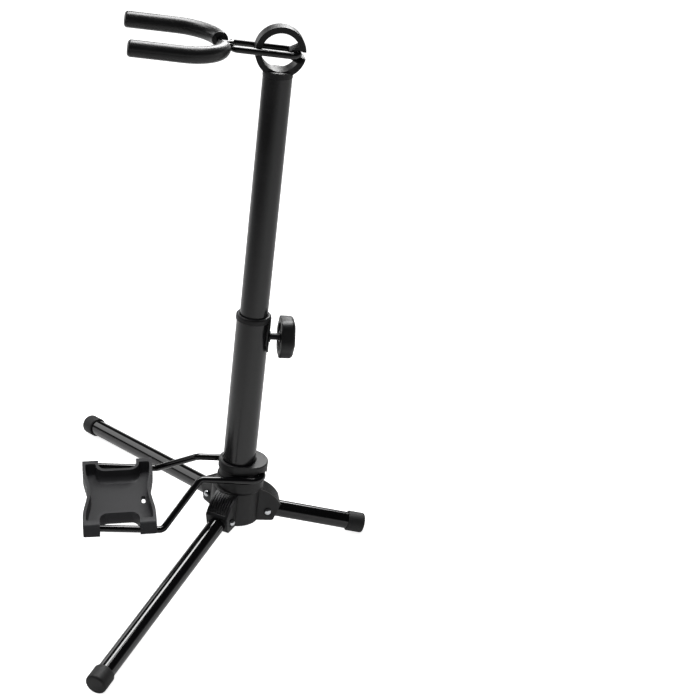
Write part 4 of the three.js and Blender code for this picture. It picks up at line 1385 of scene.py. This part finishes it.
@dataclass
class Cradle:
    """The bent wire that lies in the hub's neck, and the saddle plate on its two rods."""

    # The wire: two arms from the neck, a flare out and down, and a rod under each end of the plate.
    arm_spacing: float = 54.0
    arm_length: float = 74.0
    bend_radius: float = 8.0
    flare: Vector = field(default_factory=lambda: Vector((43.8, -42.5, -41.9)))
    rod_length: float = 86.0
    rod_edge: float = 0.6
    # The plate in plan and section, and the waists of its long edges.
    rim_half: float = 75.2
    foot_half: float = 78.6
    length: float = 83.4
    rear_gap: float = 6.4
    waist_half: float = 56.0
    front_waist: float = 5.5
    rear_waist: float = 4.5
    waist_steps: int = 32
    rim_top: float = 9.3
    crown: float = 4.0
    # The lugs that clip on the rods, the pockets beside the notches, and the floor.
    lug: float = 19.0
    lug_below: float = 4.2
    pocket_end: float = 64.5
    floor_top: float = -5.6
    floor: float = 2.5
    floor_half: float = 66.0
    # The fillet before each notch: where it ends at its top, and its height.
    bowl_half: float = 46.0
    bowl_radius: float = 7.5
    bowl_steps: int = 12
    flat_share: float = 0.15
    hollow_over: float = 5.0
    # The rounding under the floor at the notches.
    foot_radius: float = 6.5
    foot_steps: int = 10
    # Thickness of the rim at its top, and what it gains at its foot.
    lip: float = 3.6
    lip_foot: float = 0.8
    # The oval notches in both ends, and the walls round them.
    notch_inner: float = 50.7
    notch_long: float = 14.0
    notch_short: float = 9.0
    notch_wall: float = 3.0
    notch_steps: int = 14
    hollow_corner: float = 61.5
    hollow_corner_steps: int = 24
    hollow_end_steps: int = 48
    # The slot in the floor, and the pad round it.
    slot_width: float = 4.4
    slot_length: float = 16.0
    slot_pad: float = 2.0
    slot_wall: float = 2.4
    slot_inset: float = 13.0
    # The plate's corners, the channels for the rods, and the bevelled edges.
    corner_radius: float = 2.5
    channel_gap: float = 0.1
    bevel: float = 0.5

    def wire(self) -> Form:
        """The whole cradle wire."""
        half = self.arm_spacing / 2
        forwards = Vector((0, -1, 0))
        corner = Vector((half, -self.arm_length, 0))
        foot = corner + self.flare
        bend = SHARED.cradle_bend
        bender = Bender(Vector((0, 0, 0)), Vector((1, 0, 0)), SHARED.cradle_wire)
        bender.straight(half - bend).bend(bend, -QUARTER)
        bender.corner(corner, self.flare, self.bend_radius)
        bender.corner(foot, forwards, self.bend_radius)
        end = foot + forwards * self.rod_length
        bender.straight((end - bender.at).dot(forwards))
        return bender.end(self.rod_edge).doubled()

    def waist(self, edge: float, depth: float) -> list[Point]:
        """One long edge of the plate in plan, waisted in its middle."""
        points = []
        for step in range(self.waist_steps + 1):
            share = 2 * step / self.waist_steps - 1
            inwards = depth * (1 + math.cos(math.pi * share)) / 2
            points.append((share * self.waist_half, edge - math.copysign(inwards, edge)))
        return points

    def outline(self, half: float) -> list[Point]:
        """The plate in plan without its notches, with rounded corners."""
        edge = self.length / 2
        radius = self.corner_radius
        return [
            *self.waist(-edge, self.front_waist),
            *arc(half - radius, radius - edge, radius, -QUARTER, 0, steps=4),
            *arc(half - radius, edge - radius, radius, 0, QUARTER, steps=4),
            *reversed(self.waist(edge, self.rear_waist)),
            *arc(radius - half, edge - radius, radius, QUARTER, math.pi, steps=4),
            *arc(radius - half, radius - edge, radius, math.pi, 3 * QUARTER, steps=4),
        ]

    @staticmethod
    def oval(centre: Point, inner: float, side: float, steps: int) -> list[Point]:
        """A quarter of an oval round a notch's corner, from its side in to its bottom."""
        return [
            (centre[0] + (centre[0] - inner) * x, centre[1] + (side - centre[1]) * y)
            for x, y in arc(0, 0, 1, QUARTER, math.pi, steps)
        ]

    def hollow_level(self, share: float) -> list[Point]:
        """The tray's inside in plan at one level of its fillet.

        Args:
            share: 0 at the fillet's foot on the floor, 1 at its top, and less than 0 on the floor.

        Returns:
            The outline, with as many points at every level.
        """
        spread = 1 - share
        inset = self.lip + self.lip_foot * spread
        end = self.pocket_end - self.lip_foot * spread
        inner = self.bowl_half - self.bowl_radius * spread
        side = self.length / 2 - self.lug + self.notch_wall + self.lip_foot * spread
        edge = self.length / 2 - inset
        radius = self.corner_radius
        corner = end - radius
        centre = (self.hollow_corner, self.length / 2 - self.lug - self.notch_short)
        oval = self.oval(centre, inner, side, self.hollow_corner_steps)
        upper = self.resampled([
            *arc(corner, edge - radius, radius, QUARTER, 0, steps=4),
            *arc(corner, side + radius, radius, 0, -QUARTER, steps=4),
            *[point for point in oval if point[0] < corner],
            (inner, 0),
        ], self.hollow_end_steps)
        right = [*[(x, -y) for x, y in upper[:-1]], *reversed(upper)]
        left = [(-x, y) for x, y in reversed(right)]
        front = [(x, y + inset) for x, y in self.waist(-self.length / 2, self.front_waist)]
        rear = [(x, y - inset) for x, y in self.waist(self.length / 2, self.rear_waist)]
        return [*front, *right, *reversed(rear), *left]

    @staticmethod
    def resampled(points: Sequence[Point], count: int) -> list[Point]:
        """The same line with evenly spaced points.

        Args:
            points: The line's corners.
            count: Number of steps along it.

        Returns:
            The new points, with both ends.
        """
        lengths = [0.0]
        for here, after in zip(points, points[1:]):
            lengths.append(lengths[-1] + math.dist(here, after))
        result = [points[0]]
        for step in range(1, count):
            target = lengths[-1] * step / count
            i = next(k for k, length in enumerate(lengths) if length > target) - 1
            share = (target - lengths[i]) / (lengths[i + 1] - lengths[i])
            result.append(tuple(a + (b - a) * share for a, b in zip(points[i], points[i + 1])))
        return [*result, points[-1]]

    def hollow(self) -> Form:
        """The inside of the tray, which rises in a fillet before both notches.

        Its lowest two levels lie on the floor, so that the fillet's shading ends in a flat ring.
        """
        levels = [(self.floor_top, self.hollow_level(-self.flat_share))]
        for step in range(self.bowl_steps + 1):
            angle = QUARTER * step / self.bowl_steps
            height = self.floor_top + self.bowl_radius * (1 - math.cos(angle))
            levels.append((height, self.hollow_level(math.sin(angle))))
        levels.append((self.rim_top + self.hollow_over, self.hollow_level(1)))
        return Form.lofted(levels)

    def plate(self, lean: float) -> Form:
        """The saddle plate: a level tray with a rim all round, clipped on the rods by its lugs."""
        crown = self.crown
        right = [
            (self.floor_half, self.floor_top - self.floor),
            (self.floor_half, -self.lug_below),
            (self.foot_half, -self.lug_below),
            *arc(self.rim_half - crown, self.rim_top - crown, crown, 0, QUARTER, steps=8),
        ]
        section = [*right, *[(-x, z) for x, z in reversed(right)]]
        edge = self.length / 2
        blank = Form.prism(section, -edge, edge, Plane.FRONT)
        blank.keep(Form.prism(self.outline(self.foot_half), -self.length, self.length))
        under = self.floor_top - self.floor
        blank.join(self.floor_slot(self.slot_wall, under - self.slot_pad, under + CUT_OVER))
        return blank.cut(self.hollow(), self.floor_slot(0, -self.length, 0), *self.end_cuts(lean))

    def floor_slot(self, wall: float, low: float, high: float) -> Form:
        """The slot in the floor near the plate's rear edge, or the pad round it.

        Args:
            wall: What is added all round the slot.
            low: Its lower end.
            high: Its upper end.

        Returns:
            The solid that fills it.
        """
        radius = self.slot_width / 2 + wall
        end = (self.slot_length - self.slot_width) / 2
        y = self.length / 2 - self.slot_inset
        outline = [
            *arc(end, y, radius, -QUARTER, QUARTER, steps=10),
            *arc(-end, y, radius, QUARTER, 3 * QUARTER, steps=10),
        ]
        return Form.prism(outline, low, high)

    def notch_level(self, inwards: float) -> list[Point]:
        """The notch in plan, reaching further inwards where the tray's foot is rounded."""
        side = self.length / 2 - self.lug
        centre = (self.notch_inner + self.notch_long, side - self.notch_short)
        corner = self.oval(centre, self.notch_inner - inwards, side, self.notch_steps)
        out = self.foot_half + CUT_OVER
        return [(out, -side), (out, side), *corner, *[(x, -y) for x, y in reversed(corner)]]

    def end_cuts(self, lean: float) -> list[Form]:
        """The notch and the rod's channel at each end."""
        under = self.floor_top - self.floor
        radius = self.foot_radius
        levels = [(-self.length, self.notch_level(radius))]
        for step in range(self.foot_steps + 1):
            angle = QUARTER * step / self.foot_steps
            height = under + radius * (1 - math.cos(angle))
            levels.append((height, self.notch_level(radius * (1 - math.sin(angle)))))
        levels.append((self.length, self.notch_level(0)))
        notch = Form.lofted(levels)
        rod = self.arm_spacing / 2 + self.flare.x
        channel = SHARED.cradle_wire + self.channel_gap
        rod_end = self.rear_gap + self.length / 2 - self.rod_length - SEAT_GAP
        tilt = turned(-lean, "X")
        round_part = along_y(channel, rod, 0, rod_end, self.length).move(tilt)
        throat = Form.block((rod - channel, rod + channel), (rod_end, self.length), (-self.length, 0))
        tools = [notch, round_part, throat.move(tilt)]
        return tools + [tool.mirrored() for tool in tools]

    def build(self, drawing: Drawing) -> None:
        """Builds and dresses the wire and the plate."""
        wire = Piece("cradle_wire", "cradle", "wire_paint", WIRE_ENAMEL)
        wire.show(self.wire(), drawing.cradle)
        forwards = self.arm_length - self.flare.y + self.rear_gap + self.length / 2
        place = drawing.cradle.at(0, -forwards, self.flare.z, dip=-drawing.lean)
        plate = Piece(
            "cradle_plate", "cradle", "plate_plastic", PLATE_PLASTIC, edge=self.bevel, edge_steps=3
        )
        plate.show(self.plate(drawing.lean), place)


class Seen(Enum):
    """What a lamp acts on: every surface, only matt light, or only reflections."""

    EVERYWHERE = (True, True)
    SOFT_LIGHT = (True, False)
    REFLECTIONS = (False, True)


@dataclass(frozen=True)
class Lamp:
    """A soft lamp, or a card that only shows in reflections.

    Its brightness is how bright it looks, where a lit white sheet is 1, and its size is its width
    and its length, which follows the direction along.
    """

    name: str
    at: Point3
    aim: Point3
    along: Point3
    size: Point
    brightness: float
    seen: Seen

    def hang(self) -> None:
        """Puts the lamp in the scene."""
        data = bpy.data.lights.new(self.name, "AREA")
        data.shape = "RECTANGLE"
        data.size, data.size_y = self.size
        data.energy = self.brightness * math.pi * self.size[0] * self.size[1]
        back = (Vector(self.at) - Vector(self.aim)).normalized()
        across = Vector(self.along).cross(back).normalized()
        axes = Matrix((across, back.cross(across), back)).transposed()
        lamp = bpy.data.objects.new(self.name, data)
        lamp.matrix_world = Matrix.Translation(self.at) @ axes.to_4x4()
        lamp.visible_diffuse, lamp.visible_glossy = self.seen.value
        bpy.context.scene.collection.objects.link(lamp)


HUB_PLACE = (0.0, 0.0, 0.1)
NEAR_LEG = (0.15, -0.08, 0.05)
FAR_LEG = (-0.15, -0.10, 0.05)
LAMPS = (
    # Even light from above on everything matt.
    Lamp("top_box", (0.1, -0.3, 2.0), HUB_PLACE, (0, 1, 0), (1.4, 1.4), 3.8, Seen.SOFT_LIGHT),
    # The broad streaks down the mast's left side and along the far leg.
    Lamp("left_box", (-1.29, -1.33, 0.94), FAR_LEG, (0.74, -0.67, 0), (0.8, 1.8), 2.1, Seen.EVERYWHERE),
    # The sharp streak along the near leg, in reflections alone.
    Lamp(
        "rear_card", (-0.92, 0.29, 1.41), NEAR_LEG, (0.85, -0.51, -0.12), (0.5, 1.6), 15.0,
        Seen.REFLECTIONS,
    ),
    # The glints along the tops of wires, sleeves and edges, in reflections alone.
    Lamp("top_card", (-0.45, 0.0, 1.9), HUB_PLACE, (0, 1, 0), (0.4, 1.5), 10.0, Seen.REFLECTIONS),
)


@dataclass
class Studio:
    """A white floor and room, and the camera at the photograph's viewing angle, in metres."""

    # The camera, fitted to points of the open stand.
    eye: Point3 = (1.759079, -0.126923, 1.113208)
    azimuth: float = math.radians(81.2148)
    elevation: float = math.radians(26.0199)
    roll: float = math.radians(1.3483)
    focal_pixels: float = 1724.12
    sensor: float = 36.0
    sight: float = 50.0
    # The floor: which way and where its reflection darkens, and how bright it looks.
    floor_size: float = 12.0
    floor_slope: Point3 = (-0.8, 1.0, 0.0)
    floor_fade: Point = (-2.2, -0.2)
    floor_shade: float = 0.02
    floor_glow: float = 0.86
    mirror_glow: float = 0.2
    paper: str = "f0f0f0"
    # The room: its light on matt surfaces, and what reflections meet from the horizon up.
    fill: float = 0.32
    backdrop: Point = (0.02, 0.14)
    ceiling: float = 0.03

    def camera(self) -> None:
        """Sets up the camera."""
        azimuth, elevation = self.azimuth, self.elevation
        back = Vector((
            math.sin(azimuth) * math.cos(elevation),
            -math.cos(azimuth) * math.cos(elevation),
            math.sin(elevation),
        ))
        level = Vector((math.cos(azimuth), math.sin(azimuth), 0))
        upright = back.cross(level)
        right = level * math.cos(self.roll) + upright * math.sin(self.roll)
        up = upright * math.cos(self.roll) - level * math.sin(self.roll)
        data = bpy.data.cameras.new("camera")
        data.sensor_width = self.sensor
        data.lens = self.focal_pixels / PHOTO_PIXELS * self.sensor
        data.clip_end = self.sight
        camera = bpy.data.objects.new("camera", data)
        camera.matrix_world = Matrix.Translation(self.eye) @ Matrix((right, up, back)).transposed().to_4x4()
        bpy.context.scene.collection.objects.link(camera)
        bpy.context.scene.camera = camera

    @staticmethod
    def mirrored(tree: bpy.types.NodeTree, path: bpy.types.Node) -> bpy.types.NodeSocket:
        """1 for what is seen in a mirror or through glass, and 0 otherwise."""
        return add_node(tree, "ShaderNodeMath", {"operation": "MAXIMUM"}, {
            0: path.outputs["Is Glossy Ray"], 1: path.outputs["Is Transmission Ray"],
        }).outputs["Value"]

    def room(self) -> None:
        """Makes the world: a white backdrop, which reflections meet only low down, under a dark ceiling."""
        world = bpy.data.worlds.new("studio")
        bpy.context.scene.world = world
        tree = fresh_tree(world)
        path = add_node(tree, "ShaderNodeLightPath")
        direction = add_node(tree, "ShaderNodeTexCoord").outputs["Generated"]
        height = add_node(tree, "ShaderNodeSeparateXYZ", None, {0: direction}).outputs["Z"]
        backdrop = add_node(tree, "ShaderNodeMapRange", {"interpolation_type": "SMOOTHSTEP"}, {
            "Value": height, "From Min": self.backdrop[0], "From Max": self.backdrop[1],
            "To Min": 1.0, "To Max": self.ceiling,
        })
        level = add_node(tree, "ShaderNodeMapRange", None, {
            "Value": self.mirrored(tree, path),
            "To Min": self.fill, "To Max": backdrop.outputs["Result"],
        })
        strength = add_node(tree, "ShaderNodeMath", {"operation": "MAXIMUM"}, {
            0: level.outputs["Result"], 1: path.outputs["Is Camera Ray"],
        })
        light = add_node(tree, "ShaderNodeBackground", None, {
            "Color": WHITE, "Strength": strength.outputs["Value"],
        })
        add_node(tree, "ShaderNodeOutputWorld", None, {"Surface": light.outputs["Background"]})

    def floor(self) -> None:
        """Lays a white floor that keeps a faint shadow, and that reflections show darker in front."""
        mesh = bmesh.new()
        bmesh.ops.create_grid(mesh, x_segments=1, y_segments=1, size=self.floor_size / 2)
        floor = Form(mesh).as_object("floor")
        material = bpy.data.materials.new("matt_white_backdrop_paper")
        tree = fresh_tree(material)
        path = add_node(tree, "ShaderNodeLightPath")
        place = add_node(tree, "ShaderNodeTexCoord").outputs["Object"]
        across = add_node(tree, "ShaderNodeVectorMath", {"operation": "DOT_PRODUCT"}, {
            0: place, 1: self.floor_slope,
        })
        shade = add_node(tree, "ShaderNodeMapRange", None, {
            "Value": across.outputs["Value"],
            "From Min": self.floor_fade[0], "From Max": self.floor_fade[1],
            "To Min": self.floor_shade, "To Max": 1.0,
        })
        mirrored = self.mirrored(tree, path)
        tone = add_node(tree, "ShaderNodeMapRange", None, {
            "Value": mirrored, "To Min": 1.0, "To Max": shade.outputs["Result"],
        })
        colour = add_node(tree, "ShaderNodeMix", {"data_type": "RGBA"}, {
            0: tone.outputs["Result"], COLOUR_A: BLACK, COLOUR_B: linear(self.paper),
        })
        paper = add_node(tree, "ShaderNodeBsdfDiffuse", None, {"Color": colour.outputs[COLOUR_OUT]})
        sheet = add_node(tree, "ShaderNodeMath", {"operation": "MULTIPLY"}, {
            0: tone.outputs["Result"], 1: self.mirror_glow,
        })
        reflected = add_node(tree, "ShaderNodeMath", {"operation": "MULTIPLY"}, {
            0: sheet.outputs["Value"], 1: mirrored,
        })
        glow = add_node(tree, "ShaderNodeMath", {"operation": "MULTIPLY_ADD"}, {
            0: path.outputs["Is Camera Ray"], 1: self.floor_glow, 2: reflected.outputs["Value"],
        })
        emission = add_node(tree, "ShaderNodeEmission", None, {
            "Color": WHITE, "Strength": glow.outputs["Value"],
        })
        both = add_node(tree, "ShaderNodeAddShader", None, {
            0: paper.outputs["BSDF"], 1: emission.outputs["Emission"],
        })
        add_node(tree, "ShaderNodeOutputMaterial", None, {"Surface": both.outputs["Shader"]})
        floor.data.materials.append(material)

    def build(self) -> None:
        """Sets up the camera, the room, the floor and the lamps."""
        self.camera()
        self.room()
        self.floor()
        for lamp in LAMPS:
            lamp.hang()


def main() -> None:
    """Builds the studio and every sub-assembly in order."""
    logging.basicConfig(level=logging.INFO, format="%(name)s %(message)s")
    bpy.context.scene.view_settings.view_transform = "Standard"
    Studio().build()
    drawing = Drawing({joint["name"]: joint for joint in frame["joints"]})
    Hub().build(drawing)
    for side in Side:
        Leg(side).build(drawing)
    for assembly in (Mast(), Clamp(), HeadRing(), Yoke(), Cradle()):
        assembly.build(drawing)


if __name__ == "__main__":
    main()
